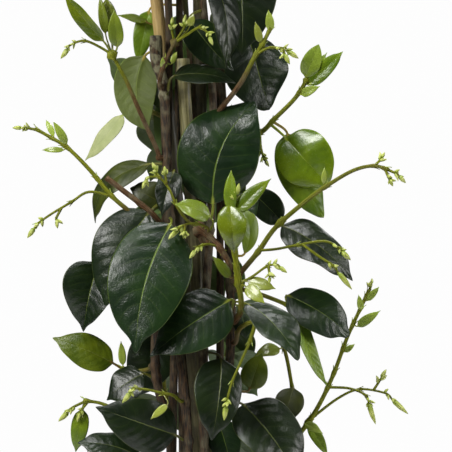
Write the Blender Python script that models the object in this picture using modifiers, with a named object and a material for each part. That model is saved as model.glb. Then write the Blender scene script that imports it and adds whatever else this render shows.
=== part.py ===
"""Potted star jasmine: a climber on three bamboo canes in a plain round nursery pot.

Lengths in the tables below are in millimetres and become metres when a mesh is made.
The origin is the centre of the pot's flat base, +Z is up and the plant's front faces -Y.
"""

import math
from collections import namedtuple

import bmesh
import bpy
from mathutils import Vector

MM = 0.001
GAP = 0.35          # clearance left between pieces that touch

# Pot and soil
POT_TOP_R = 85.0
POT_BASE_R = 62.0
POT_HEIGHT = 135.0
POT_WALL = 2.4
POT_FLOOR = 3.0
RIM_DEPTH = 14.0
RIM_STEP = 3.2
DRAIN_HOLES = 6
DRAIN_R = 5.0
DRAIN_RING_R = 42.0
SOIL_TOP = 118.0
SOIL_CROWN = 2.0
POT_SIDES = 28

# Canes
CANE_R = 3.2
CANE_NODE_R = 3.7
CANE_NODE_PITCH = 118.0
CANE_NODE_HALF = 3.0

# Foliage
LEAF_THICKNESS = 0.9
PETIOLE_HALF = 0.8
ROOT_DEPTH = 0.5       # how far a stalk or petiole starts past its twig's middle line
BUD_R = 1.25
TWIG_GAP = 0.5         # clearance between a twig and its stem
TWIG_FOOT = 2.2        # straight start of a twig, square to its stem
PAIR_STAGGER = 0.8     # opposite leaves sit this much apart along their twig

Leaf = namedtuple("Leaf", "base tip width bow sweep fold face tone")
Shoot = namedtuple("Shoot", "stem height radii route stalks leaves")

FRONT = (0.0, -1.0, 0.35)
TONES = {
    "dark": ((0.018, 0.045, 0.016), 0.32),
    "mid": ((0.045, 0.11, 0.018), 0.4),
    "young": ((0.13, 0.26, 0.02), 0.42),
    "pale": ((0.24, 0.36, 0.12), 0.5),
}
BARK = (0.075, 0.05, 0.032)
BAMBOO = (0.42, 0.3, 0.13)
PLASTIC = (0.03, 0.031, 0.033)
COMPOST = (0.035, 0.022, 0.014)


def leaf(base, tip, width, bow=2.0, sweep=0.0, fold=10.0, face=FRONT, tone="dark"):
    """A leaf blade from its base to its tip, with its upper side turned towards face."""
    return Leaf(base, tip, width, bow, sweep, fold, face, tone)


# Foot and top of each cane's middle line
CANES = {
    "cane_left": ((26, 4, 40), (-31, -3, 655)),
    "cane_front": ((20, -14, 40), (-3.9, -10.4, 484)),
    "cane_back": ((2, 18, 40), (4, 9, 648)),
}

# Main stems: thickness at the soil and at the top, and points along the middle line
STEMS = {
    "stem_front_left": (2.7, 3.2, [
        (-6, -24, 118.4), (-4, -22, 200), (-2, -20, 290), (-9, -18, 370), (-12.5, -16.5, 430),
        (-14, -15.5, 468), (-17.5, -15, 482), (-18.2, -14.6, 495)]),
    "stem_left": (2.6, 1.7, [
        (-26, -12, 118.4), (-20, -15, 220), (-10.5, -14, 287), (-18.5, -13.5, 332), (-13.5, -10.5, 400),
        (-12.2, -8.2, 460), (-12, -8.5, 513), (-19.5, -14, 580), (-24, -12, 640)]),
    "stem_front": (2.5, 1.6, [
        (28, -25, 118.4), (18, -22, 200), (6.5, -20.5, 287), (6, -18.5, 345), (9, -14.5, 400),
        (10.5, -9.5, 460), (5.5, -8, 513), (0, -3, 580), (-4, -1, 640)]),
    "stem_right": (2.6, 1.6, [
        (30, 4, 118.4), (22, -2, 200), (16.5, -5, 287), (19.5, -8, 345), (18, -3, 400),
        (15.5, 1, 460), (12, 2, 513), (13, -1, 580), (9, 2, 648)]),
    "stem_back_right": (2.3, 1.5, [
        (18, 22, 118.4), (15, 18, 220), (14, 13, 320), (14, 11.5, 400), (12.5, 9.5, 513),
        (13, 10, 600)]),
    "stem_back_left": (2.4, 1.5, [
        (-16, 20, 118.4), (-12, 15, 220), (-9.5, 11.5, 320), (-8.5, 9.5, 400), (-6.5, 8, 513),
        (-8, 6, 580), (-10, 9, 632)]),
    "stem_core": (2.0, 1.3, [
        (-2, 0, 118.4), (-5, 3, 287), (-5, 8, 345), (0, 6.5, 400), (0.5, 3, 460), (-3.5, 0, 513), (-5, 1.5, 560)]),
}

# Leaves that grow straight from a main stem: stem, height of the seat, blade
STEM_LEAVES = {
    "leaf_top_left": ("stem_front", 537, leaf((9, -19, 530), (18.5, -31, 479), 24, 4, 0, 12, (0.55, -0.8, 0.2))),
    "leaf_top_centre": ("stem_right", 538, leaf((22.5, 3, 534), (25, -10, 485.5), 36, 4, -1, 10, (0.1, -1, 0.3))),
    "leaf_upper_right": ("stem_right", 492, leaf((28, 3, 497), (39.5, 0, 459), 36, 3, 2, 8, (0.2, -0.9, 0.4))),
    "leaf_across": ("stem_front_left", 465, leaf((-9, -22, 474.5), (22, -19, 472), 19, 3, 0, 8, (0.0, -0.55, 0.85))),
    "leaf_centre": ("stem_front", 404, leaf((10.5, -21, 411), (31, -22, 462), 41, 4, -6, 6, (-0.14, -1, 0.22))),
    "leaf_front_left": ("stem_front_left", 404, leaf((-10.5, -27, 401), (-27.5, -43, 337.5), 41, 5, 4, 8)),
    "leaf_behind_left": ("stem_left", 412, leaf((-21, -20.5, 407), (-43, -24, 360), 33, 4, 3, 8, (-0.2, -1, 0.3))),
    "leaf_arched": ("stem_left", 431, leaf((-21, -10.2, 431), (-50, 5, 402), 17, 11, 0, 10, (-0.35, -0.7, 0.6))),
    "leaf_underside": ("stem_back_left", 486, leaf((-24, 6, 486), (-22, 5, 448.5), 23, -2, -5, 8, (0.25, 1, 0.1), "mid")),
    "leaf_green_top": ("stem_back_left", 501, leaf((-23, 5, 503), (-38, 6, 507), 7, 1, 0, 8, (0, -0.6, 0.8), "mid")),
    "leaf_diagonal": ("stem_right", 357, leaf((18.5, -24, 363), (-21, -32, 336), 31, 3, 0, 6, (0.15, -0.9, 0.5))),
    "leaf_shiny": ("stem_right", 362, leaf((27.5, -18, 361), (53, -36, 334.5), 24, 4, 0, 12, (0.35, -0.65, 0.75))),
    "leaf_small_right": ("stem_right", 410, leaf((30, 1, 417), (46, 3, 401), 16, 2, 0, 8, (0.1, -1, 0.3))),
    "leaf_low_left": ("stem_front_left", 293, leaf((-8, -25, 296), (-47, -36, 310.5), 27, 4, 0, 8, (-0.1, -0.8, 0.6))),
    "leaf_low_shade": ("stem_left", 324, leaf((-24.5, -14, 326), (-43, -12, 313), 20, 2, 0, 8, (-0.2, -0.8, 0.5))),
    "leaf_low_centre": ("stem_front", 337, leaf((14.5, -24, 334), (10, -33, 294), 25, 4, 0, 8, (0.3, -0.95, 0.15))),
    "leaf_low_right": ("stem_right", 311, leaf((25.5, -10, 310.5), (54, -24, 271), 36, 5, 0, 18, (0.35, -0.85, 0.45))),
    "leaf_olive": ("stem_right", 318, leaf((29, -2, 318), (35, -4, 336), 14, 1, 0, 8, FRONT, "mid")),
    "leaf_bright_left": ("stem_front", 398, leaf((9, -30, 404.5), (-8, -34, 411), 12, 2, 0, 8, (0, -0.8, 0.6), "young")),
    "leaf_bottom_left": ("stem_left", 281, leaf((-26, -12, 284), (-57, -14, 292), 22, 3, 0, 8, (-0.2, -0.6, 0.8))),
}

# Side shoots: each is one grown piece, a twig with its stalks, buds and small leaves
SHOOTS = {
    "shoot_top_left": Shoot("stem_front_left", 434, (1.3, 0.9), [
        (-17, -19, 437), (-26, -22, 457), (-32.5, -23, 472), (-39.5, -24, 485)],
        [[(-40, -24, 484), (-44, -25, 488), (-53, -26, 492), (-60, -27, 490), (-65, -28, 483)]],
        [leaf((-44, -25, 492), (-64, -28, 516), 10, 1, 0, 24, (-0.4, -0.8, -0.3), "young"),
         leaf((-43, -22, 496), (-46, -20, 515), 5, 1, 0, 16, FRONT, "young"),
         leaf((-40, -21, 496), (-43, -16, 515), 8.5, 1, 0, 10, FRONT, "young"),
         leaf((-37, -26, 489), (-38.5, -30, 507), 8, 1, 0, 16, FRONT, "young")]),
    "shoot_left": Shoot("stem_left", 396, (1.3, 0.8), [
        (-22, -17, 398), (-31, -18, 407), (-40, -18, 415), (-51, -18, 428), (-62, -18, 439), (-71, -18, 444.5),
        (-78, -18, 448.5)],
        [[(-40, -18, 415), (-51.5, -19, 417), (-60, -20, 412), (-70, -21, 406), (-77, -21, 401), (-82, -21, 394)],
         [(-65, -20, 409), (-67.5, -21, 404), (-67, -21, 399)],
         [(-77, -18, 448), (-83, -18, 449), (-89.5, -18, 449)]],
        [leaf((-62.5, -19, 441), (-69, -22, 452), 7, 1, 0, 10, FRONT, "young"),
         leaf((-69, -18, 445), (-73, -14, 453), 5, 1, 0, 10, FRONT, "young"),
         leaf((-64, -17, 438), (-75, -14, 438), 5, 1, 0, 10, FRONT, "young")]),
    "shoot_young_top": Shoot("stem_front_left", 470, (1.2, 1.0), [
        (-16, -21.5, 473), (-13.5, -24, 481), (-8.5, -25, 491)],
        [[(-8.5, -25, 491), (-10, -26, 498), (-9.5, -25, 504)],
         [(-8.5, -25, 491), (-4, -27, 498), (-3, -27, 505)],
         [(-8.5, -25, 491), (-2, -31, 495), (4, -38, 498), (8, -41, 495), (10.5, -43, 489)]],
        [leaf((-14, -23, 478), (-14.5, -26, 484), 3, 0.5, 0, 5, FRONT, "young"),
         leaf((-10, -20.5, 481), (-7.5, -20, 487), 3, 0.5, 0, 5, FRONT, "young"),
         leaf((-1, -31, 499), (1, -33, 505), 4, 0.5, 0, 5, FRONT, "young")]),
    "shoot_upper_right": Shoot("stem_front", 455, (1.5, 0.9), [
        (14, -16, 458), (24, -28, 470.5), (31, -29, 483.5), (35, -29, 490), (39, -29, 498)],
        [[(32, -29, 485), (39, -31, 488.5), (45, -32, 487), (48.5, -33, 480)],
         [(39, -31, 488.5), (46, -30, 488), (53, -30, 483)]],
        [leaf((39, -29, 497), (38, -31, 507), 4.5, 0.5, 0, 10, FRONT, "young"),
         leaf((34, -30, 491), (31.5, -32, 501), 4, 0.5, 0, 10, FRONT, "young")]),
    "shoot_right_fork": Shoot("stem_right", 438, (1.4, 1.0), [
        (24, 2, 442), (35, 0, 447.5), (41.5, -2, 454), (51.5, -5, 464), (57.5, -6, 473)],
        [[(34, 0, 447), (34.5, -4, 440), (36, -6, 434), (38.5, -7, 430)]],
        [leaf((48, 1, 446.5), (66.5, -3, 404.5), 27, 3, 3, 8, (0.1, -1, 0.3), "mid"),
         leaf((57, -7, 475), (63.5, -10, 491), 8, 1, 0, 16, (-0.5, -0.8, 0.2), "young"),
         leaf((58, -5, 474), (68, -2, 487.5), 5, 1, 0, 16, FRONT, "young"),
         leaf((59, -7, 471), (75.5, -10, 487.5), 8, 1, 0, 16, (0.4, -0.8, 0.4), "young"),
         leaf((55, -7, 466), (64, -11, 470), 5, 1, 0, 16, FRONT, "young")]),
    "shoot_long_right": Shoot("stem_right", 372, (1.5, 0.8), [
        (24, -11, 376), (33, -13, 387), (42, -14, 399.5), (57, -16, 412.5), (66.5, -17, 419.5), (80, -19, 427.5),
        (90.5, -20, 430), (98, -21, 428)],
        [[(97, -21, 428), (102, -21, 426), (106.5, -21, 421.5)],
         [(96, -21, 428.5), (98, -22, 424), (100, -22, 420)],
         [(91, -20, 430), (94, -20, 433), (96, -20, 436.5)],
         [(34, -13, 387.5), (42, -18, 388.5), (52.5, -23, 390.5), (66, -25, 392.5), (73, -25, 389), (79, -25, 383)],
         [(55, -23.5, 391), (63, -24.5, 385), (70, -25, 380.5), (80, -24, 368)]],
        [leaf((45, -6, 400), (80.5, -10, 372.5), 27, 5, 0, 10, (0.15, -0.65, 0.75)),
         leaf((66, -17, 421), (66, -19, 429), 3, 0.5, 0, 5, FRONT, "young")]),
    "shoot_centre": Shoot("stem_right", 352, (1.6, 1.2), [
        (24, -19, 357), (24.5, -25, 363), (23, -30, 373), (21.5, -33, 386), (20, -33, 398), (20, -33, 406)],
        [[(20, -33, 405), (21.5, -35, 413), (23.5, -37, 421)],
         [(23.3, -30, 371), (30, -34, 375), (37, -37, 380), (42, -38, 381), (47, -39, 377)],
         [(38, -37, 380.5), (38.5, -38, 376), (38.5, -38, 372)]],
        [leaf((21, -36, 387), (19, -38, 410), 17, 5, 0, 14, FRONT, "young"),
         leaf((26, -31, 386), (25.5, -28, 409), 11, 3, 2, 12, (0.5, -0.9, 0.2), "mid"),
         leaf((19.5, -34, 407), (19.5, -36, 427.5), 7, 1, 0, 15, (-0.3, -0.9, 0), "young"),
         leaf((22, -34, 407), (39, -38, 423.5), 8.5, 1, 0, 12, FRONT, "young"),
         leaf((19, -32, 374.5), (10.5, -34, 385), 5.5, 1, 0, 10, FRONT, "mid"),
         leaf((28, -33, 372.5), (41.5, -38, 369), 7, 1, 0, 10, FRONT, "young"),
         leaf((27, -34, 370), (36, -40, 362), 7, 1, 0, 10, (0, -1, 0), "young")]),
    "twig_cut": Shoot("stem_front_left", 399, (1.3, 1.4), [
        (-16, -24, 402), (-21, -27.5, 407.5), (-30, -28, 414.5), (-42.5, -28, 424)],
        [], []),
    "stalk_left": Shoot("stem_front", 392, (1.6, 1.6), [
        (3.5, -22, 398), (8, -26, 395.5), (14, -28, 389), (18, -28.5, 382.5), (18.5, -28, 378.5)],
        [[(8, -26.5, 396), (8, -29, 399), (3, -31, 401), (-2, -32.5, 401), (-6, -33.5, 399), (-11.5, -36, 393.5)],
         [(-3, -33, 400.5), (-3.5, -34, 397.5), (-3, -34, 394)],
         [(13.5, -28, 389.5), (8, -30, 391), (3, -31, 389.5), (-1, -33.5, 384)],
         [(3, -23, 398.5), (-3, -27, 403.5), (-8, -29, 411), (-11, -29, 418), (-16, -29, 424), (-22, -30, 424),
          (-24.5, -31, 418.5)],
         [(-15, -29, 423.5), (-18, -29, 427), (-19.5, -29, 431.5)],
         [(-12.5, -29, 420.5), (-13, -29, 425), (-13.5, -29, 429.5)]],
        []),
    "stalk_front": Shoot("stem_right", 342, (1.3, 1.0), [
        (24, -16, 349), (31, -27, 352), (29, -33, 343)],
        [[(29, -33, 343), (24, -35, 332), (20, -36, 323), (17.5, -37, 314), (16, -38, 304)]],
        []),
    "shoot_far_right": Shoot("stem_right", 262, (1.4, 0.8), [
        (26, 4, 264), (45, 8, 284), (57, 10, 298), (65, 12, 310.5), (72, 14, 325.5), (79, 16, 344),
        (86.5, 18, 360), (90.5, 19, 368)],
        [[(69, 13, 318), (80, 11, 317.5), (88, 10, 314), (93, 9, 299)],
         [(60, 10.5, 302), (74, 13, 312.5), (85, 14, 317), (98, 14, 315), (110, 14, 304)],
         [(92, 14, 316.5), (95, 15, 321), (98.5, 15, 327)],
         [(89.5, 19, 366), (91, 19, 369.5), (91.5, 19, 373)]],
        [leaf((84, 16, 349), (95.5, 14, 357), 5, 1, 0, 16, FRONT, "young"),
         leaf((89, 18, 362), (95, 17, 369), 3.5, 0.5, 0, 10, FRONT, "young"),
         leaf((86, 17, 357), (84.5, 16, 365), 3.5, 0.5, 0, 10, FRONT, "young"),
         leaf((77.5, 15, 336), (82.5, 14, 340), 3, 0.5, 0, 10, FRONT, "young"),
         leaf((57, 8, 300), (66, 6, 295), 5, 1, 0, 16, FRONT, "young"),
         leaf((59, 12, 299), (69, 12, 283), 6.5, 1, 0, 16, FRONT, "young")]),
    "stalk_low_left": Shoot("stem_front_left", 313, (0.9, 0.8), [
        (-9, -30, 316), (-14, -38, 317.5)],
        [[(-14, -38, 317.5), (-22, -42, 319.5), (-28.5, -43, 320), (-34, -44, 313)]],
        [leaf((-12, -41, 312), (-20, -44, 305), 4, 0.5, 0, 8, FRONT, "young")]),
    "shoot_pale_low": Shoot("stem_left", 300, (1.0, 0.8), [
        (-20, -18, 303), (-33, -15, 306), (-45, -12, 311), (-53.5, -12, 312.5)],
        [[(-53, -12, 312.5), (-60, -12, 309), (-67, -12, 302)],
         [(-52, -12, 312), (-56, -12, 307), (-57.5, -12, 302)]],
        [leaf((-55, -10, 308), (-58.5, -8, 286.5), 9, 1, 0, 10, FRONT, "young")]),
    "shoot_low_left": Shoot("stem_left", 330, (1.2, 1.0), [
        (-22, -6, 328), (-28, -4, 327), (-35, -3, 328)],
        [],
        [leaf((-40, -3, 331), (-70, -6, 344), 19, 2, 0, 8, (-0.1, -0.9, 0.5), "mid"),
         leaf((-35, -1, 330), (-36, 0, 342), 4, 0.5, 0, 8, FRONT, "young")]),
    "shoot_mid_left": Shoot("stem_left", 388, (1.2, 1.0), [
        (-23, -14, 387), (-36, -8, 386), (-43, -5, 384)],
        [],
        [leaf((-47, -5, 382), (-55, -7, 347), 33, 3, 0, 35, (-0.2, -1, 0.2))]),
    "shoot_right_low": Shoot("stem_right", 368, (1.2, 1.0), [
        (25, -3, 368), (33, -1, 366), (46, 1, 361), (53, -3, 357)],
        [],
        [leaf((48, -6, 365), (79, -11, 345.5), 24, 4, 0, 8, (0.1, -0.85, 0.5)),
         leaf((55, -9, 355), (68.5, -17, 320.5), 13, 2, 3, 20, (0.6, -0.8, 0.2), "mid")]),
    "shoot_right_down": Shoot("stem_right", 352, (1.1, 0.9), [
        (26, 4, 351), (38, 6, 350), (46, 6, 339), (50, 6, 321), (52, 6, 306)],
        [],
        [leaf((51, 3, 318), (46, -2, 301), 15, 2, 0, 10, FRONT),
         leaf((44, 4, 338), (31, 0, 334), 8, 2, 0, 12, (0, -0.8, 0.5), "young")]),
    "shoot_back_left": Shoot("stem_back_left", 452, (1.3, 1.0), [
        (-16, 17, 456), (-26, 25, 460), (-34, 30, 459)],
        [],
        [leaf((-36, 31, 457), (-56, 36, 434), 14, 3, 0, 8, (-0.3, -0.8, 0.5), "pale"),
         leaf((-28, 28, 463), (-44, 44, 487), 22, 3, 0, 10, (-0.3, 0.6, 0.7)),
         leaf((-20, 22, 455), (-10, 44, 432), 24, 4, 0, 10, (0, 0.9, 0.4))]),
}

# Leafy shoots of the rest of the plant:
# stem, height of the seat, turn from the front towards +X in degrees, reach, rise, leaf length, leaf pairs
FILL_SHOOTS = {
    "shoot_crown_front": ("stem_front", 548, 5, 24, 58, 44, 4),
    "shoot_crown_left": ("stem_left", 540, -88, 24, 60, 44, 4),
    "shoot_crown_right": ("stem_right", 558, 95, 22, 58, 44, 4),
    "shoot_crown_back": ("stem_back_left", 530, 182, 24, 62, 44, 4),
    "shoot_crown_tip": ("stem_right", 636, 60, 8, 40, 36, 3),
    "shoot_back_mid": ("stem_back_left", 368, 185, 24, 40, 36, 3),
    "shoot_back_low": ("stem_back_right", 258, 172, 24, 62, 38, 4),
    "shoot_foot_front": ("stem_front", 150, -5, 24, 70, 50, 4),
    "shoot_foot_left": ("stem_left", 160, -115, 24, 70, 50, 4),
    "shoot_foot_right": ("stem_right", 146, 110, 24, 66, 50, 4),
}


def clear_scene():
    for item in list(bpy.data.objects):
        bpy.data.objects.remove(item, do_unlink=True)


def new_collection(name):
    group = bpy.data.collections.new(name)
    bpy.context.scene.collection.children.link(group)
    return group


def dress(item, colour, roughness):
    """Gives an object a Principled material of its own."""
    material = bpy.data.materials.new(item.name + "_finish")
    material.use_nodes = True
    shader = material.node_tree.nodes["Principled BSDF"]
    shader.inputs["Base Color"].default_value = (*colour, 1.0)
    shader.inputs["Roughness"].default_value = roughness
    shader.inputs["Metallic"].default_value = 0.0
    item.data.materials.append(material)


def smooth_route(points, steps=4):
    """Points along a Catmull-Rom curve through the given points, in millimetres."""
    knots = [Vector(p) for p in points]
    knots = [2 * knots[0] - knots[1]] + knots + [2 * knots[-1] - knots[-2]]
    route = []
    for i in range(1, len(knots) - 2):
        a, b, c, d = knots[i - 1:i + 3]
        for k in range(steps):
            t = k / steps
            route.append(0.5 * (2 * b + (c - a) * t + (2 * a - 5 * b + 4 * c - d) * t * t
                                + (3 * b - a - 3 * c + d) * t ** 3))
    route.append(knots[-2])
    return route


def taper(start, end, count):
    return [start + (end - start) * i / (count - 1) for i in range(count)]


def tube_curve(name, route, radii, resolution):
    """A curve object with filled caps whose thickness follows the radii along the route."""
    curve = bpy.data.curves.new(name, "CURVE")
    curve.dimensions = "3D"
    curve.bevel_depth = max(radii) * MM
    curve.bevel_resolution = resolution
    curve.use_fill_caps = True
    spline = curve.splines.new("POLY")
    spline.points.add(len(route) - 1)
    for point, place, radius in zip(spline.points, route, radii):
        point.co = (*(place * MM), 1.0)
        point.radius = radius / max(radii)
    return bpy.data.objects.new(name, curve)


def tube_mesh(name, route, radii, resolution, group):
    """The same tube as a closed mesh, for pieces that are joined to others."""
    tube = tube_curve(name + "_guide", route, radii, resolution)
    group.objects.link(tube)
    graph = bpy.context.evaluated_depsgraph_get()
    mesh = bpy.data.meshes.new_from_object(tube.evaluated_get(graph))
    mesh.name = name
    model = bmesh.new()
    model.from_mesh(mesh)
    bmesh.ops.remove_doubles(model, verts=model.verts, dist=0.00002)
    bmesh.ops.recalc_face_normals(model, faces=model.faces)
    model.to_mesh(mesh)
    model.free()
    bpy.data.objects.remove(tube, do_unlink=True)
    item = bpy.data.objects.new(name, mesh)
    group.objects.link(item)
    return item


def at_height(route, radii, height):
    """Middle line's point and radius where a rising route passes a height."""
    for i in range(len(route) - 1):
        low, high = route[i].z, route[i + 1].z
        if low <= height <= high:
            t = (height - low) / (high - low)
            return route[i].lerp(route[i + 1], t), radii[i] + (radii[i + 1] - radii[i]) * t
    return route[-1], radii[-1]


def seat_on(stem, height, towards, reach):
    """A point beside the stem's bark, on the side that faces towards."""
    middle, radius = at_height(*stem, height)
    out = Vector(towards) - middle
    out.z = 0.0
    out.normalize()
    return middle + out * (radius + reach), out


def nearest_on(route, place):
    """The closest point of a polyline to a place."""
    best = None
    for a, b in zip(route, route[1:]):
        along = b - a
        t = max(0.0, min(1.0, (Vector(place) - a).dot(along) / along.length_squared))
        spot = a + along * t
        if best is None or (spot - Vector(place)).length < (best - Vector(place)).length:
            best = spot
    return best


def rooted(routes, place, aim):
    """Start inside the nearest twig or stalk for what grows from a place towards an aim, with its direction."""
    middle = min((nearest_on(route, place) for route in routes), key=lambda spot: (spot - Vector(place)).length)
    lean = (Vector(aim) - middle).normalized()
    return middle - lean * ROOT_DEPTH, lean


def blade_line(blade, u):
    """Point of the midrib at u, 0 at the blade's base and 1 at its tip, with its tangent and normal."""
    base, tip = Vector(blade.base), Vector(blade.tip)
    chord = tip - base
    normal = Vector(blade.face) - chord * (Vector(blade.face).dot(chord) / chord.length_squared)
    normal.normalize()
    side = chord.normalized().cross(normal)
    hump = 4 * u * (1 - u)
    slope = 4 - 8 * u
    place = base + chord * u + normal * blade.bow * hump + side * blade.sweep * hump
    tangent = (chord + (normal * blade.bow + side * blade.sweep) * slope).normalized()
    normal = (normal - tangent * normal.dot(tangent)).normalized()
    return place, tangent, normal


def blade_half_width(blade, u):
    """Ovate outline: broadest before the middle, drawn out to the tip."""
    rise, fall = 0.5, 0.95
    peak = rise / (rise + fall)
    shape = (u / peak) ** rise * ((1 - u) / (1 - peak)) ** fall
    return blade.width / 2 * shape


def leaf_rows(blade, start, out, rows):
    """Rows of (middle, side, normal, half width) from the petiole's start to the leaf's tip."""
    base, tangent, normal = blade_line(blade, 0.0)
    reach = (base - start).length / 3
    neck = min(PETIOLE_HALF, 0.3 + blade.width * 0.03)
    corners = [start, start + out * reach, base - tangent * reach, base]
    stations = []
    petiole_steps = 2 if (base - start).length > 7 else 1
    for i in range(petiole_steps):
        t = i / petiole_steps
        a, b, c, d = corners
        place = a * (1 - t) ** 3 + b * 3 * t * (1 - t) ** 2 + c * 3 * t * t * (1 - t) + d * t ** 3
        ahead = (b - a) * (1 - t) ** 2 + (c - b) * 2 * t * (1 - t) + (d - c) * t * t
        stations.append((place, ahead.normalized(), neck))
    for i in range(rows + 1):
        u = i / rows
        place, ahead, normal_here = blade_line(blade, u)
        stations.append((place, ahead, max(blade_half_width(blade, u), neck if i == 0 else 0.45)))
    result = []
    for place, ahead, half in stations:
        up = normal - ahead * normal.dot(ahead)
        up.normalize()
        result.append((place, ahead.cross(up), up, half))
    return result


def leaf_object(name, blade, start, out, rows, group, across=2):
    """A leaf with its petiole: a grid folded along the midrib, given its thickness by Solidify."""
    stations = leaf_rows(blade, start, out, rows)
    model = bmesh.new()
    bmesh.ops.create_grid(model, x_segments=across, y_segments=len(stations) - 1, size=0.5)
    fold = math.radians(blade.fold)
    for vertex in model.verts:
        row = round((vertex.co.y + 0.5) * (len(stations) - 1))
        s = vertex.co.x * 2
        place, side, up, half = stations[row]
        opened = half > PETIOLE_HALF + 0.2
        lift = math.sin(fold) * abs(s) * half if opened else 0.0
        vertex.co = (place + side * (s * half * math.cos(fold)) + up * lift) * MM
    mesh = bpy.data.meshes.new(name)
    model.to_mesh(mesh)
    model.free()
    item = bpy.data.objects.new(name, mesh)
    group.objects.link(item)
    wall = item.modifiers.new("thickness", "SOLIDIFY")
    wall.thickness = LEAF_THICKNESS * MM
    wall.offset = 0.0
    return item


def hide_cutter(item):
    item.hide_render = True
    item.display_type = "WIRE"


def join(item, cutter, operation="UNION"):
    """Joins a cutter to an object, or takes it away, with a live Boolean."""
    hide_cutter(cutter)
    boolean = item.modifiers.new(cutter.name, "BOOLEAN")
    boolean.operation = operation
    boolean.solver = "EXACT"
    boolean.use_self = operation == "UNION"
    boolean.object = cutter


def build_pot(parts, cutters):
    """Tapered pot with a rim band, turned from its profile, with a ring of drain holes in its floor."""
    inner_top = POT_TOP_R - POT_WALL
    inner_base = POT_BASE_R - POT_WALL
    profile = [
        (0, POT_FLOOR), (inner_base, POT_FLOOR), (inner_top, POT_HEIGHT), (POT_TOP_R, POT_HEIGHT),
        (POT_TOP_R, POT_HEIGHT - RIM_DEPTH), (POT_TOP_R - RIM_STEP, POT_HEIGHT - RIM_DEPTH - 1.5),
        (POT_BASE_R, 1.5), (POT_BASE_R - 1.5, 0), (0, 0)]
    pot = turned("pot", profile, parts)
    for i in range(DRAIN_HOLES):
        turn = 2 * math.pi * i / DRAIN_HOLES
        model = bmesh.new()
        bmesh.ops.create_cone(model, cap_ends=True, segments=8, radius1=DRAIN_R * MM, radius2=DRAIN_R * MM,
                              depth=4 * POT_FLOOR * MM)
        place = Vector((math.cos(turn), math.sin(turn), 0)) * DRAIN_RING_R * MM
        bmesh.ops.translate(model, verts=model.verts, vec=place)
        mesh = bpy.data.meshes.new("drain_hole")
        model.to_mesh(mesh)
        model.free()
        hole = bpy.data.objects.new(f"drain_hole_{i + 1}", mesh)
        cutters.objects.link(hole)
        join(pot, hole, "DIFFERENCE")
    dress(pot, PLASTIC, 0.45)


def turned(name, profile, group):
    """A solid of revolution: the profile runs from the axis down the outer side and back to the axis."""
    mesh = bpy.data.meshes.new(name)
    vertices = [(r * MM, 0.0, z * MM) for r, z in profile]
    mesh.from_pydata(vertices, [(i, i + 1) for i in range(len(vertices) - 1)], [])
    item = bpy.data.objects.new(name, mesh)
    group.objects.link(item)
    screw = item.modifiers.new("turn", "SCREW")
    screw.steps = POT_SIDES
    screw.render_steps = POT_SIDES
    screw.use_merge_vertices = True
    screw.merge_threshold = 0.0001
    return item


def build_soil(parts, cutters, canes):
    """Soil that fills the pot up to below its rim, with a socket for each cane."""
    inner_top = POT_TOP_R - POT_WALL
    inner_base = POT_BASE_R - POT_WALL
    edge = SOIL_TOP - SOIL_CROWN
    slope = (inner_top - inner_base) / (POT_HEIGHT - POT_FLOOR)
    foot = POT_FLOOR + GAP
    profile = [
        (0, SOIL_TOP), (30, SOIL_TOP - 0.2), (inner_base + slope * (edge - POT_FLOOR) - GAP - 0.1, edge),
        (inner_base + slope * GAP - GAP - 0.1, foot), (0, foot)]
    soil = turned("soil", profile, parts)
    for name, route in canes.items():
        low, high = route[0], route[-1]
        along = (high - low).normalized()
        ends = [low - along * 0.5, low + along * 100]
        socket = tube_mesh(name + "_socket", ends, [CANE_NODE_R + GAP + 0.15] * 2, 4, cutters)
        join(soil, socket, "DIFFERENCE")
    dress(soil, COMPOST, 0.95)


def build_cane(name, foot, top, parts):
    """A straight bamboo cane, a little swollen at its nodes."""
    foot, top = Vector(foot), Vector(top)
    length = (top - foot).length
    along = (top - foot) / length
    route = [foot]
    radii = [CANE_R]
    height = CANE_NODE_PITCH * 0.7
    while height < length - 20:
        for offset, radius in ((-CANE_NODE_HALF, CANE_R), (0, CANE_NODE_R), (CANE_NODE_HALF, CANE_R)):
            route.append(foot + along * (height + offset))
            radii.append(radius)
        height += CANE_NODE_PITCH
    route.append(top)
    radii.append(CANE_R)
    cane = tube_curve(name, route, radii, 2)
    parts.objects.link(cane)
    dress(cane, BAMBOO, 0.55)
    return route


def build_stems(parts):
    """Main stems; returns each one's middle line and radii for what grows on it."""
    stems = {}
    for name, (foot_r, top_r, points) in STEMS.items():
        route = smooth_route(points, 2)
        radii = taper(foot_r, top_r, len(route))
        stem = tube_curve(name, route, radii, 2)
        parts.objects.link(stem)
        dress(stem, BARK, 0.7)
        stems[name] = (route, radii)
    return stems


def build_leaf(name, stem, height, blade, parts):
    start, out = seat_on(stem, height, blade.base, GAP)
    item = leaf_object(name, blade, start, out, 5, parts)
    colour, roughness = TONES[blade.tone]
    dress(item, colour, roughness)


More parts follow.
